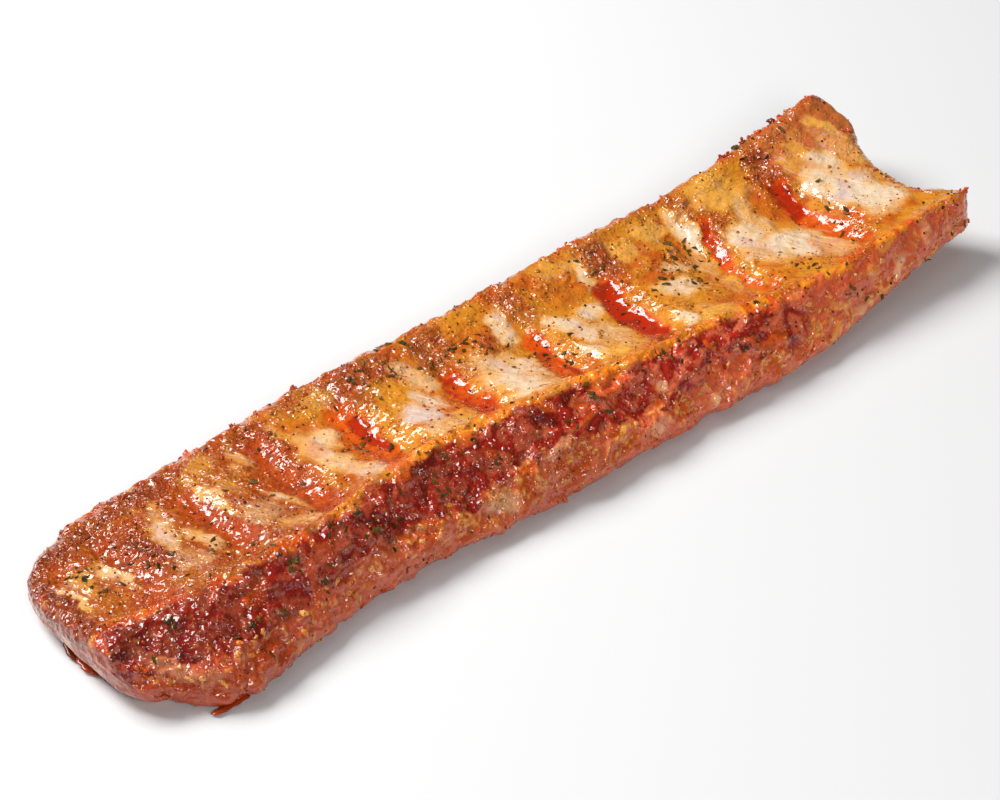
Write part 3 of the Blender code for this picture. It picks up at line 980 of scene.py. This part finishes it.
def meat_material():
    n = Nodes("wet_marinated_meat")
    tint = n.attribute("tint", "Color")
    over = n.attribute("over", "Color")
    share = n.attribute("share")
    pool = n.attribute("pool")
    pale = n.attribute("pale")
    grainy = n.attribute("grainy")
    wrinkled = n.attribute("wrinkled")
    # The second colour lies over the first in a ragged, finely broken edge.
    ragged = n.noise(4.5, 8.0, 0.68, 0.8)
    edge = n.math("ADD", share, n.times(n.math("SUBTRACT", ragged, 0.5), 1.1))
    fibre = fibres_of(n)
    sharp = n.step(edge, 0.22, 0.70)
    # The membrane fades out along its fibres instead.
    streaks = n.math("ADD", share, n.times(n.math("SUBTRACT", fibre, 0.5), 1.1))
    streaks = n.math("ADD", streaks, n.times(n.math("SUBTRACT", ragged, 0.5), 0.35))
    soft = n.step(streaks, 0.10, 0.95)
    on_top = n.step(pale, 0.0, 0.08)
    cover = n.math("ADD", sharp, n.times(on_top, n.math("SUBTRACT", soft, sharp)))
    colour = n.mix(cover, tint, over)
    rim = n.times(cover, n.math("SUBTRACT", 1.0, cover))
    rim = n.math("MULTIPLY", rim, 3.0, clamp=True)
    colour = n.mix(n.times(rim, pale), colour, rgba((224, 158, 52)))
    # Fine light and dark, stronger where the surface is grainy.
    fine = n.noise(1.9, 8.0, 0.72, 0.5)
    strength = n.math("MULTIPLY_ADD", grainy, 0.55, 0.08)
    darker = n.times(n.step(fine, 0.50, 0.64), strength)
    colour = n.mix(darker, colour, rgba((138, 38, 4)))
    lighter = n.times(n.step(fine, 0.48, 0.34), n.times(strength, 0.8))
    colour = n.mix(lighter, colour, rgba((226, 160, 70)))
    # Fibres in the membrane: darker lines, and pale streaks that are partly the membrane's white
    # fibres and partly painted sheen.
    lines = n.times(pale, n.step(fibre, 0.52, 0.66))
    colour = n.mix(n.times(lines, 0.55), colour, rgba((206, 132, 66)))
    shine = n.times(pale, n.step(fibre, 0.46, 0.34))
    colour = n.mix(n.times(shine, 0.6), colour, rgba((240, 222, 206)))
    # Paprika and pepper dust.
    for size, radius, chosen, seed, amount, tone in DUSTS:
        dust = n.times(
            spots(n, size, radius, chosen, seed),
            n.math("MULTIPLY_ADD", grainy, amount, 0.05),
        )
        colour = n.mix(dust, colour, rgba(tone))
    # Bumps: soft wrinkles, grain, and beads of marinade.
    calm = n.math("SUBTRACT", 1.0, n.times(pool, 0.6))
    wet = n.math("MULTIPLY_ADD", grainy, 0.75, 0.45)
    wrinkle = n.times(n.noise(3.2, 3.0, 0.5, 0.3), n.times(wet, 1.5))
    grain = n.times(n.noise(1.1, 4.0, 0.62), n.math("MULTIPLY_ADD", grainy, 0.42, 0.06))
    bead_cell = n.cells(1.7, "SMOOTH_F1", 0.25)
    bead = n.step(bead_cell.outputs["Distance"], 0.46, 0.05, 0.0, 0.42)
    bead = n.times(bead, n.math("MULTIPLY_ADD", grainy, 0.9, 0.1))
    fibres = n.times(n.times(fibre, pale), 0.40)
    height = n.math("ADD", n.math("ADD", wrinkle, grain), n.math("ADD", bead, fibres))
    normal = n.bump(n.times(height, calm))
    broad = n.times(n.noise(4.6, 0.0, 0.5, 0.2), n.times(wet, 1.5))
    film = n.math("ADD", broad, n.times(bead, 1.1))
    folds = n.math("MULTIPLY_ADD", wrinkled, 1.3, n.times(wet, 0.7))
    film = n.math("ADD", film, n.times(n.noise(2.4, 0.0, 0.5, 0.25), folds))
    film = n.math("ADD", n.times(film, calm), n.attribute("bank"))
    film = n.bump(film)
    rough = n.step(n.noise(5.0, 3.0), 0.35, 0.65, 0.30, 0.45)
    rough = n.times(rough, n.math("SUBTRACT", 1.0, n.times(pool, 0.6)))
    return n.set(
        Base_Color=colour,
        Roughness=rough,
        Normal=normal,
        Coat_Normal=film,
        Coat_Weight=1.0,
        Coat_Roughness=0.03,
        Coat_IOR=1.55,
        Specular_IOR_Level=0.06,
        Subsurface_Weight=0.10,
        Subsurface_Radius=(1.0, 0.30, 0.12),
        Subsurface_Scale=0.0018,
    )


def spice_material(name, roughness):
    n = Nodes(name + "_look")
    tint = n.attribute("tint", "Color")
    fine = n.noise(0.35, 4.0, 0.6)
    colour = n.mix(n.step(fine, 0.40, 0.62, 0.0, 0.6), tint, rgba((30, 20, 8)))
    normal = n.bump(n.times(n.noise(0.25, 3.0), 0.10))
    return n.set(
        Base_Color=colour,
        Roughness=roughness,
        Normal=normal,
        Coat_Weight=0.4,
        Coat_Roughness=0.08,
        Coat_IOR=1.33,
        Specular_IOR_Level=0.1,
    )


def bead_material(name="marinade_bead", grain=0.12):
    n = Nodes(name + "_look")
    tint = n.attribute("tint", "Color")
    fine = n.noise(0.7, 5.0, 0.65)
    colour = n.mix(n.step(fine, 0.48, 0.66, 0.0, grain * 2.0), tint, rgba((150, 60, 16)))
    normal = n.bump(n.times(n.noise(0.9, 3.0), grain))
    return n.set(
        Base_Color=colour,
        Roughness=0.2,
        Normal=normal,
        Coat_Weight=1.0,
        Coat_Roughness=0.03,
        Coat_IOR=1.38,
        Specular_IOR_Level=0.1,
        Subsurface_Weight=0.25,
        Subsurface_Radius=(1.0, 0.35, 0.12),
        Subsurface_Scale=0.001,
    )


# ---------------------------------------------------------------- pieces on the surface


class Surface:
    """Finds points on the shaped body from x and the measure across."""

    def __init__(self, shaped, normal, colours, pale):
        self.pale = pale.reshape(shaped.shape[:2])[:, :, None]
        self.grid = shaped
        self.normal = normal
        self.colour = colours[0].reshape(shaped.shape)
        middles = shaped[:, :, 0].mean(axis=1) + np.arange(len(shaped)) * 1e-4
        self.ring_x = np.maximum.accumulate(middles)
        across = across_measure()
        self.across = np.append(across, across[-1] + UNDER_WIDTH / UNDER_POINTS)

    def read(self, values, x, w):
        i = np.interp(x, self.ring_x, np.arange(len(self.ring_x)))
        i = np.clip(i, 0, len(self.grid) - 1.001)
        j = np.interp(w, self.across, np.arange(AROUND + 1)) % AROUND
        a, b = np.floor(i).astype(int), np.floor(j).astype(int)
        s, t = (i - a)[..., None], (j - b)[..., None]
        c = (b + 1) % AROUND
        return (
            values[a, b] * (1 - s) * (1 - t)
            + values[a + 1, b] * s * (1 - t)
            + values[a, c] * (1 - s) * t
            + values[a + 1, c] * s * t
        )

    def at(self, x, w):
        up = self.read(self.normal, x, w)
        up = up / np.linalg.norm(up, axis=-1, keepdims=True)
        return self.read(self.grid, x, w), up


def bare(surface, x, w, rng, share=0.85):
    """True where a grain may lie: mostly off the pale membrane and the flank's clean right end."""
    clean = np.maximum(surface.read(surface.pale, x, w)[:, 0], ((x > 112) & (w < -5)) * 0.8)
    return rng.uniform(0, 1, len(x)) > share * clean


def unit(v):
    return v / np.maximum(np.linalg.norm(v, axis=-1, keepdims=True), 1e-9)


def strands(paths, ups, half_width, half_height, sides):
    """Closed strands along paths of shape (strands, points, 3), with sides points round each."""
    count, steps = paths.shape[:2]
    ahead = unit(np.gradient(paths, axis=1))
    aside = unit(np.cross(ups, ahead))
    lifted = unit(np.cross(ahead, aside))
    turn = 2 * np.pi * np.arange(sides) / sides
    across = aside[:, :, None] * (half_width[:, :, None] * np.cos(turn))[..., None]
    upward = lifted[:, :, None] * (half_height[:, :, None] * np.sin(turn))[..., None]
    points = (paths[:, :, None] + across + upward).reshape(-1, 3)
    base = (np.arange(count) * steps * sides)[:, None, None]
    ring = (np.arange(steps - 1) * sides)[None, :, None]
    j = np.arange(sides)[None, None, :]
    k = (j + 1) % sides
    a, b = base + ring + j, base + ring + k
    quads = np.stack([a, b, b + sides, a + sides], axis=-1).reshape(-1, 4)
    fan = np.arange(1, sides - 1)
    first = np.stack([np.zeros_like(fan), fan + 1, fan], axis=1)
    last = np.stack([np.zeros_like(fan), fan, fan + 1], axis=1) + (steps - 1) * sides
    ends = (base + np.concatenate([first, last])[None]).reshape(-1, 3)
    return points, [quads, ends]


def ball_shape(subdivisions):
    work = bmesh.new()
    bmesh.ops.create_icosphere(work, subdivisions=subdivisions, radius=1.0)
    work.verts.ensure_lookup_table()
    points = np.array([vertex.co[:] for vertex in work.verts])
    faces = np.array([[vertex.index for vertex in face.verts] for face in work.faces])
    work.free()
    return points, faces


def lumps(centres, ups, sizes, flatness, roughness, subdivisions, rng):
    """A small uneven ball at each centre; sizes are half widths."""
    shape, faces = ball_shape(subdivisions)
    count = len(centres)
    sideways = unit(np.cross(ups, unit(rng.normal(size=(count, 3)))))
    along_it = np.cross(ups, sideways)
    stretch = 1 + 0.35 * rng.uniform(-1, 1, (count, 2))
    uneven = 1 + roughness * rng.uniform(-1, 1, (count, len(shape)))
    local = shape[None] * uneven[..., None] * sizes[:, None, None]
    points = (
        centres[:, None]
        + local[..., :1] * stretch[:, None, :1] * sideways[:, None]
        + local[..., 1:2] * stretch[:, None, 1:] * along_it[:, None]
        + local[..., 2:] * flatness * ups[:, None]
    )
    faces = faces[None] + (np.arange(count) * len(shape))[:, None, None]
    return points.reshape(-1, 3), [faces.reshape(-1, 3)]


def tinted(piece, colours, each):
    colours = np.repeat(np.clip(colours, 0, 1), each, axis=0)
    add_layer(piece.data, "tint", "FLOAT_COLOR", with_alpha(colours))
    return piece


# Where herbs lie in groups: x, across, spread, how many.
HERBS_ON_TOP = (
    (-174, 44, 3.5, 9), (-172, 40, 3.0, 7), (-174, 31, 3.0, 6), (-174, 25, 3.0, 5),
    (-156, 31, 4.0, 8), (-154, 41, 4.0, 8), (-131, 20, 4.0, 7), (-152, 20, 4.0, 7),
    (-110, 30, 5.0, 7), (-66, 30, 3.5, 8), (-68, 28, 3.0, 5), (-40, 56, 9.0, 26),
    (-12, 49, 3.5, 8), (-3, 49, 3.0, 7), (3, 41, 4.0, 9), (15, 30, 3.0, 6),
    (17, 20, 3.5, 7), (22, 20, 3.0, 6), (40, 30, 6.0, 7), (95, 48, 3.5, 9),
    (90, 39, 4.0, 9), (75, 28, 4.5, 8), (80, 32, 4.0, 8), (88, 25, 4.0, 8),
    (100, 39, 4.0, 7), (115, 7, 4.0, 7), (120, 8, 4.0, 7), (153, 27, 3.5, 6),
    (147, 14, 3.5, 6), (-90, 52, 6.0, 9), (60, 60, 6.0, 8), (140, 58, 6.0, 8),
)
HERBS_ON_FLANK = (
    (-168, -8, 3.0, 6), (-122, -7, 3.0, 8), (-116, -16, 2.5, 8), (-85, -17, 3.0, 7),
    (-80, -15, 3.0, 7), (-37, -2, 3.0, 7), (-36, -12, 2.5, 6), (-5, -16, 3.0, 7),
    (42, -4, 3.0, 7), (47, -5, 3.0, 7), (124, -11, 3.0, 6), (128, -15, 3.0, 5),
    (178, -6, 3.0, 5), (-100, -6, 4.0, 9), (10, -8, 4.0, 7), (85, -9, 4.0, 7),
    (-148, -14, 4.0, 7), (-60, -8, 4.0, 8),
)


def herb_places(rng, spare_top, spare_flank):
    xs, ws = [], []
    for x, w, spread, count in HERBS_ON_TOP + HERBS_ON_FLANK:
        xs.append(x + spread * rng.normal(size=count))
        ws.append(w + spread * rng.normal(size=count))
    xs.append(rng.uniform(-187, 187, spare_top))
    ws.append(rng.uniform(0, 72, spare_top))
    xs.append(rng.uniform(-185, 185, spare_flank))
    ws.append(-30 * rng.uniform(0, 1, spare_flank) ** 1.3)
    return np.concatenate(xs), np.concatenate(ws)


def make_herbs(surface, rng):
    x, w = herb_places(rng, *SPARE_HERBS)
    keep = bare(surface, x, w, rng, 0.5)
    x, w = x[keep], w[keep]
    centre, up = surface.at(x, w)
    count = len(x)
    steps = 6
    length = rng.uniform(0.6, 2.0, count) * rng.uniform(0.6, 1.0, count)
    heading = unit(np.cross(up, unit(rng.normal(size=(count, 3)))))
    tilt = rng.uniform(-0.35, 0.35, count)[:, None]
    heading = unit(heading + up * tilt)
    aside = np.cross(up, heading)
    s = np.linspace(-1, 1, steps)[None, :, None]
    bend = rng.normal(0, 0.28, count)[:, None, None]
    curl = rng.uniform(-0.1, 0.45, count)[:, None, None]
    size = length[:, None, None]
    path = (
        centre[:, None]
        + up[:, None] * (0.22 + curl * size * s**2)
        + heading[:, None] * s * size
        + aside[:, None] * bend * size * s**2
    )
    roll = rng.normal(0, 0.5, count)[:, None]
    ups = np.repeat(unit(up + aside * roll)[:, None], steps, axis=1)
    leaf = np.sqrt(np.clip(1 - np.abs(s[..., 0]) ** 1.6, 0.02, 1))
    leaf = leaf * (1 + 0.30 * rng.uniform(-1, 1, (count, steps)))
    broad = rng.uniform(0.30, 0.75, count)[:, None] * length[:, None]
    points, faces = strands(path, ups, leaf * broad, 0.06 + 0.05 * leaf, 6)
    piece = mesh_of("herb_flakes", points * MM, faces, spice_material("dried_herbs", 0.55), False)
    shade = rng.uniform(0, 1, count)[:, None]
    colours = srgb(56, 42, 12) * (1 - shade) + srgb(112, 84, 28) * shade
    green = rng.uniform(0, 0.8, count)[:, None] ** 3
    colours = colours * (1 - green) + srgb(80, 78, 26) * green
    return tinted(piece, colours, steps * 6)


# Ground spices: seed, name, how many, smallest and largest half width, two colours, roughness.
GRAINS = (
    (5, "pepper_grains", 1100, 0.16, 0.50, (44, 26, 12), (96, 52, 20), 0.5),
    (6, "paprika_grains", 1500, 0.16, 0.48, (170, 44, 6), (214, 96, 20), 0.35),
    (7, "garlic_grains", 700, 0.20, 0.55, (222, 168, 84), (240, 212, 150), 0.4),
)


def make_grains(surface, rng, name, count, low, high, first, second, rough):
    """Ground spice: x and across at random, mostly on the grainy parts."""
    on_top = int(count * 0.66)
    x = rng.uniform(-188, 188, count)
    w = np.concatenate(
        [rng.uniform(-1, 76, on_top), -33 * rng.uniform(0, 1, count - on_top) ** 1.2]
    )
    clump = noise(np.column_stack([x, w, 0 * x]), 9, 90) + 0.6 * rng.uniform(-1, 1, count)
    keep = (clump > -0.35) & bare(surface, x, w, rng)
    x, w = x[keep], w[keep]
    centre, up = surface.at(x, w)
    sizes = low + (high - low) * rng.uniform(0, 1, len(x)) ** 2
    points, faces = lumps(centre + up * sizes[:, None] * 0.35, up, sizes, 0.75, 0.28, 1, rng)
    piece = mesh_of(name, points * MM, faces, spice_material(name, rough), False)
    shade = rng.uniform(0, 1, len(x))[:, None]
    return tinted(piece, srgb(*first) * (1 - shade) + srgb(*second) * shade, 12)


BEADS = 1500
BEADS_ON_TOP = 900
FAT_THREADS = 90
THREADS_ON_FLANK = 75
SPARE_HERBS = (45, 30)  # flakes outside the groups, on the top and on the flank


def make_drops(surface, rng):
    """Beads of oily marinade."""
    count, on_top = BEADS, BEADS_ON_TOP
    x = rng.uniform(-187, 187, count)
    w = np.concatenate([rng.uniform(0, 70, on_top), -32 * rng.uniform(0, 1, count - on_top) ** 1.1])
    centre, up = surface.at(x, w)
    sizes = 0.28 + 0.62 * rng.uniform(0, 1, count) ** 2.5
    points, faces = lumps(centre, up, sizes, 0.62, 0.05, 2, rng)
    piece = mesh_of("marinade_beads", points * MM, faces, bead_material())
    shade = rng.uniform(0.55, 0.95, count)[:, None]
    colours = surface.read(surface.colour, x, w) * shade * (1.0, 0.85, 0.7)
    return tinted(piece, colours, 42)


def make_fat_threads(surface, rng):
    """Crinkled edges of yellow fat along the flank and a few on the top."""
    count, steps = FAT_THREADS, 8
    x = rng.uniform(-178, 184, count)
    on_flank = np.arange(count) < THREADS_ON_FLANK
    w = np.where(on_flank, rng.normal(-22.0, 2.8, count), rng.uniform(0, 12, count))
    w = np.where((x > 100) & (w < 0), w * rng.uniform(0.5, 1.0, count), w)
    heading = rng.normal(0, 0.35, count)
    length = rng.uniform(0.20, 0.55, count)
    px, pw = [x], [w]
    for _ in range(steps - 1):
        heading = heading + rng.normal(0, 0.38, count)
        px.append(px[-1] + length * np.cos(heading))
        pw.append(pw[-1] + length * np.sin(heading))
    px, pw = np.stack(px, axis=1), np.stack(pw, axis=1)
    path, up = surface.at(px, pw)
    taper = np.sin(np.pi * (np.arange(steps) + 0.5) / steps)[None] ** 0.7
    uneven = 1 + 0.45 * rng.uniform(-1, 1, (count, steps))
    width = rng.uniform(0.45, 1.15, count)[:, None] * taper * uneven
    rise = 0.02 + 0.10 * rng.uniform(0, 1, (count, steps, 1)) * taper[..., None]
    points, faces = strands(path + up * rise, up, width, 0.42 * width, 8)
    piece = mesh_of("fat_threads", points * MM, faces, bead_material("wet_fat", 0.45))
    shade = rng.uniform(0, 1, count)[:, None]
    colours = srgb(214, 110, 30) * (1 - shade) + srgb(240, 172, 92) * shade
    return tinted(piece, colours, steps * 8)


# Torn bits: x, across, how many, spread along x, longest, outward lean, colour.
SHREDS = (
    (-167, 70, 4, 3, 4.0, 0.7, "brown"), (-163, 71, 3, 2, 3.0, 0.7, "lean"),
    (-150, 71, 3, 6, 2.5, 0.6, "lean"), (-120, 71, 4, 12, 2.5, 0.6, "orange_brown"),
    (-90, 71, 4, 10, 3.0, 0.6, "lean"), (-64, 71, 4, 3, 4.0, 0.8, "orange_brown"),
    (-35, 71, 5, 12, 2.5, 0.5, "lean"), (0, 71, 4, 12, 2.5, 0.5, "orange_brown"),
    (30, 71, 4, 10, 2.5, 0.5, "lean"), (60, 70, 5, 2, 4.0, 0.8, "orange_brown"),
    (95, 71, 5, 14, 2.5, 0.5, "orange_brown"), (136, 70, 5, 1.2, 4.5, 0.9, "orange_brown"),
    (139, 70, 6, 1.5, 3.5, 0.7, "lean"), (145, 70, 10, 2.5, 3.2, 0.7, "orange_brown"),
    (150, 70, 10, 2.5, 4.0, 0.8, "lean"), (155, 70, 6, 1.5, 4.8, 0.9, "orange_brown"),
    (164, 70, 5, 1.5, 5.0, 0.9, "brown"), (167, 70, 5, 2, 4.0, 0.7, "orange_brown"),
    (175, 71, 9, 5, 3.5, 0.5, "salmon"), (182, 68, 6, 3, 3.0, 0.5, "salmon"),
    (-17, -33, 3, 2, 4.0, 0.6, "salmon"), (-155, -36, 5, 6, 4.0, 0.4, "orange_brown"),
    (-185, -20, 6, 2, 3.5, 0.8, "orange_brown"), (-187, 12, 5, 1.5, 3.0, 0.9, "lean"),
    (-187, 40, 5, 1.5, 3.0, 0.9, "salmon"), (186, 1, 3, 1.5, 4.0, 0.9, "orange_brown"),
    (184, 30, 4, 2.0, 3.0, 0.6, "pink"), (184, 50, 4, 2.0, 3.0, 0.6, "salmon"),
    (60, -30, 5, 40, 2.5, 0.5, "salmon"), (-90, -32, 6, 40, 2.5, 0.5, "orange_brown"),
)


def make_shreds(surface, rng):
    xs, ws, longest, lean, tones = [], [], [], [], []
    for x, w, count, spread, reach, outward, tone in SHREDS:
        xs += list(x + spread * rng.uniform(-1, 1, count))
        ws += list(w + 2.0 * rng.uniform(-1, 1, count))
        longest += list(reach * rng.uniform(0.45, 1.0, count))
        lean += [outward] * count
        tones += [TONES[tone]] * count
    x, w = np.clip(np.array(xs), -188, 188), np.array(ws)
    count, steps = len(x), 8
    centre, up = surface.at(x, w)
    heading = unit(np.cross(up, unit(rng.normal(size=(count, 3)))))
    heading = unit(heading * 0.8 + up * np.array(lean)[:, None])
    size = np.array(longest)[:, None]
    s = np.linspace(0, 1, steps)
    path = [centre - up * 0.6]
    for _ in range(steps - 1):
        heading = unit(heading + 0.42 * rng.normal(size=(count, 3)))
        path.append(path[-1] + heading * size / (steps - 1))
    path = np.stack(path, axis=1)
    path[:, :, 2] = np.maximum(path[:, :, 2], 0.4)
    side = np.repeat(unit(rng.normal(size=(count, 1, 3))), steps, axis=1)
    taper = np.sqrt(np.clip(1.02 - s[None] ** 2.2, 0, 1))
    taper = taper * (1 + 0.4 * rng.uniform(-1, 1, (count, steps)))
    width = rng.uniform(0.7, 1.5, count)[:, None] * taper * (size / 4.0) ** 0.5
    points, faces = strands(path, side, 0.7 * width, width, 8)
    piece = mesh_of("torn_shreds", points * MM, faces, bead_material("wet_shreds", 0.3))
    shade = rng.uniform(0.8, 1.2, count)[:, None]
    return tinted(piece, np.array(tones) * shade, steps * 8)


# Sauce and torn edges that stick out at the foot: points along each, half width, half
# height, colour.
FOOT_BITS = (
    (((-158, -46, 0.9), (-163, -47, 0.9), (-168, -47, 0.8), (-172, -46, 0.6)), 1.9, 0.6, "lean"),
    (((-187, 13, 2.2), (-189.5, 10, 1.8), (-191.0, 6, 1.2), (-191.0, 2, 0.8)), 1.5, 0.8, "brown"),
    (((-187, 5, 1.9), (-189.5, 2, 1.5), (-190.5, -3, 1.0), (-189.5, -8, 0.7)), 1.8, 0.7, "lean"),
    (((-185, -5, 1.9), (-187.5, -8, 1.3), (-188.5, -12, 0.9), (-187, -16, 0.7)), 1.3, 0.6, "brown"),
)


def make_foot_bits(rng):
    places = np.array([item[0] for item in FOOT_BITS], float)
    steps = 12
    s = np.linspace(0, places.shape[1] - 1, steps)
    low = np.minimum(s.astype(int), places.shape[1] - 2)
    share = (s - low)[None, :, None]
    path = places[:, low] * (1 - share) + places[:, low + 1] * share
    path = path + (0.16, 0.16, 0.0) * rng.normal(size=path.shape)
    count = len(path)
    taper = np.sqrt(np.clip(1.03 - np.linspace(0, 1, steps) ** 3, 0, 1))
    uneven = 1 + 0.3 * rng.uniform(-1, 1, (count, steps))
    wide = np.array([item[1] for item in FOOT_BITS])[:, None] * taper * uneven
    tall = np.array([item[2] for item in FOOT_BITS])[:, None] * taper
    ups = np.zeros(path.shape)
    ups[..., 2] = 1.0
    points, faces = strands(path, ups, wide, tall, 10)
    points[:, 2] = np.maximum(points[:, 2], 0.0)
    piece = mesh_of("foot_bits", points * MM, faces, bead_material("wet_foot_bits", 0.3))
    return tinted(piece, np.array([TONES[item[3]] for item in FOOT_BITS]), steps * 10)


def make_pieces(shaped, normal, x, w, z, colours):
    surface = Surface(shaped, normal, colours, z["pale"])
    pieces = [
        make_herbs(surface, np.random.default_rng(3)),
        *[make_grains(surface, np.random.default_rng(kind[0]), *kind[1:]) for kind in GRAINS],
        make_drops(surface, np.random.default_rng(8)),
        make_fat_threads(surface, np.random.default_rng(9)),
        make_shreds(surface, np.random.default_rng(10)),
        make_foot_bits(np.random.default_rng(11)),
    ]
    return pieces


# ---------------------------------------------------------------- stage, light and camera


CAMERA_AZIMUTH = -40.0
CAMERA_ELEVATION = 40.0
CAMERA_DISTANCE = 1.328
CAMERA_AIM = (-0.00948, 0.00194, 0.015)
LENS = 136.58


def area_light(name, aim, direction, distance, width, height, power):
    data = bpy.data.lights.new(name, "AREA")
    data.shape = "RECTANGLE"
    data.size = width
    data.size_y = height
    data.energy = power
    light = bpy.data.objects.new(name, data)
    bpy.context.scene.collection.objects.link(light)
    away = Vector(direction).normalized()
    light.location = Vector(aim) + away * distance
    light.rotation_mode = "QUATERNION"
    light.rotation_quaternion = away.to_track_quat("Z", "Y")
    return light


def make_stage():
    n = Nodes("pale_table")
    n.set(Base_Color=(0.68, 0.68, 0.68, 1.0), Roughness=0.9, Specular_IOR_Level=0.1)
    work = bmesh.new()
    bmesh.ops.create_grid(work, x_segments=1, y_segments=1, size=6.0)
    mesh = bpy.data.meshes.new("table")
    work.to_mesh(mesh)
    work.free()
    mesh.materials.append(n.material)
    floor = bpy.data.objects.new("table", mesh)
    floor.location.z = -0.0004
    bpy.context.scene.collection.objects.link(floor)


def make_light():
    world = bpy.data.worlds.new("studio")
    world.use_nodes = True
    background = world.node_tree.nodes["Background"]
    background.inputs["Color"].default_value = (1.0, 1.0, 1.0, 1.0)
    background.inputs["Strength"].default_value = 0.09
    bpy.context.scene.world = world
    aim = (0.0, 0.0, 0.02)
    area_light("key", aim, (-0.31, 0.59, 0.76), 1.5, 0.88, 0.72, 33.5)
    fill = area_light("fill", aim, (-0.10, 0.15, 0.98), 1.8, 2.0, 2.0, 6.5)
    # The fill is as broad as a room, and would lie over the wet surface as a haze.
    fill.visible_glossy = False
    area_light("front", aim, (-0.35, -0.72, 0.6), 1.5, 0.50, 0.40, 8.2)
    bpy.context.scene.view_settings.view_transform = "Standard"
    bpy.context.scene.view_settings.look = "None"


def make_camera():
    data = bpy.data.cameras.new("camera")
    data.sensor_width = 36.0
    data.lens = LENS
    camera = bpy.data.objects.new("camera", data)
    bpy.context.scene.collection.objects.link(camera)
    azimuth, elevation = math.radians(CAMERA_AZIMUTH), math.radians(CAMERA_ELEVATION)
    back = Vector(
        (
            math.sin(azimuth) * math.cos(elevation),
            -math.cos(azimuth) * math.cos(elevation),
            math.sin(elevation),
        )
    )
    camera.location = Vector(CAMERA_AIM) + back * CAMERA_DISTANCE
    camera.rotation_mode = "QUATERNION"
    camera.rotation_quaternion = back.to_track_quat("Z", "Y")
    data.clip_start = 0.05
    data.clip_end = 20.0
    bpy.context.scene.camera = camera


def main():
    made = make_body(meat_material())
    body = made[0]
    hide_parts("rack")
    pieces = [body]
    pieces += make_pieces(*made[1:])
    for piece in pieces:
        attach(piece, "root")
    make_stage()
    make_light()
    make_camera()


main()
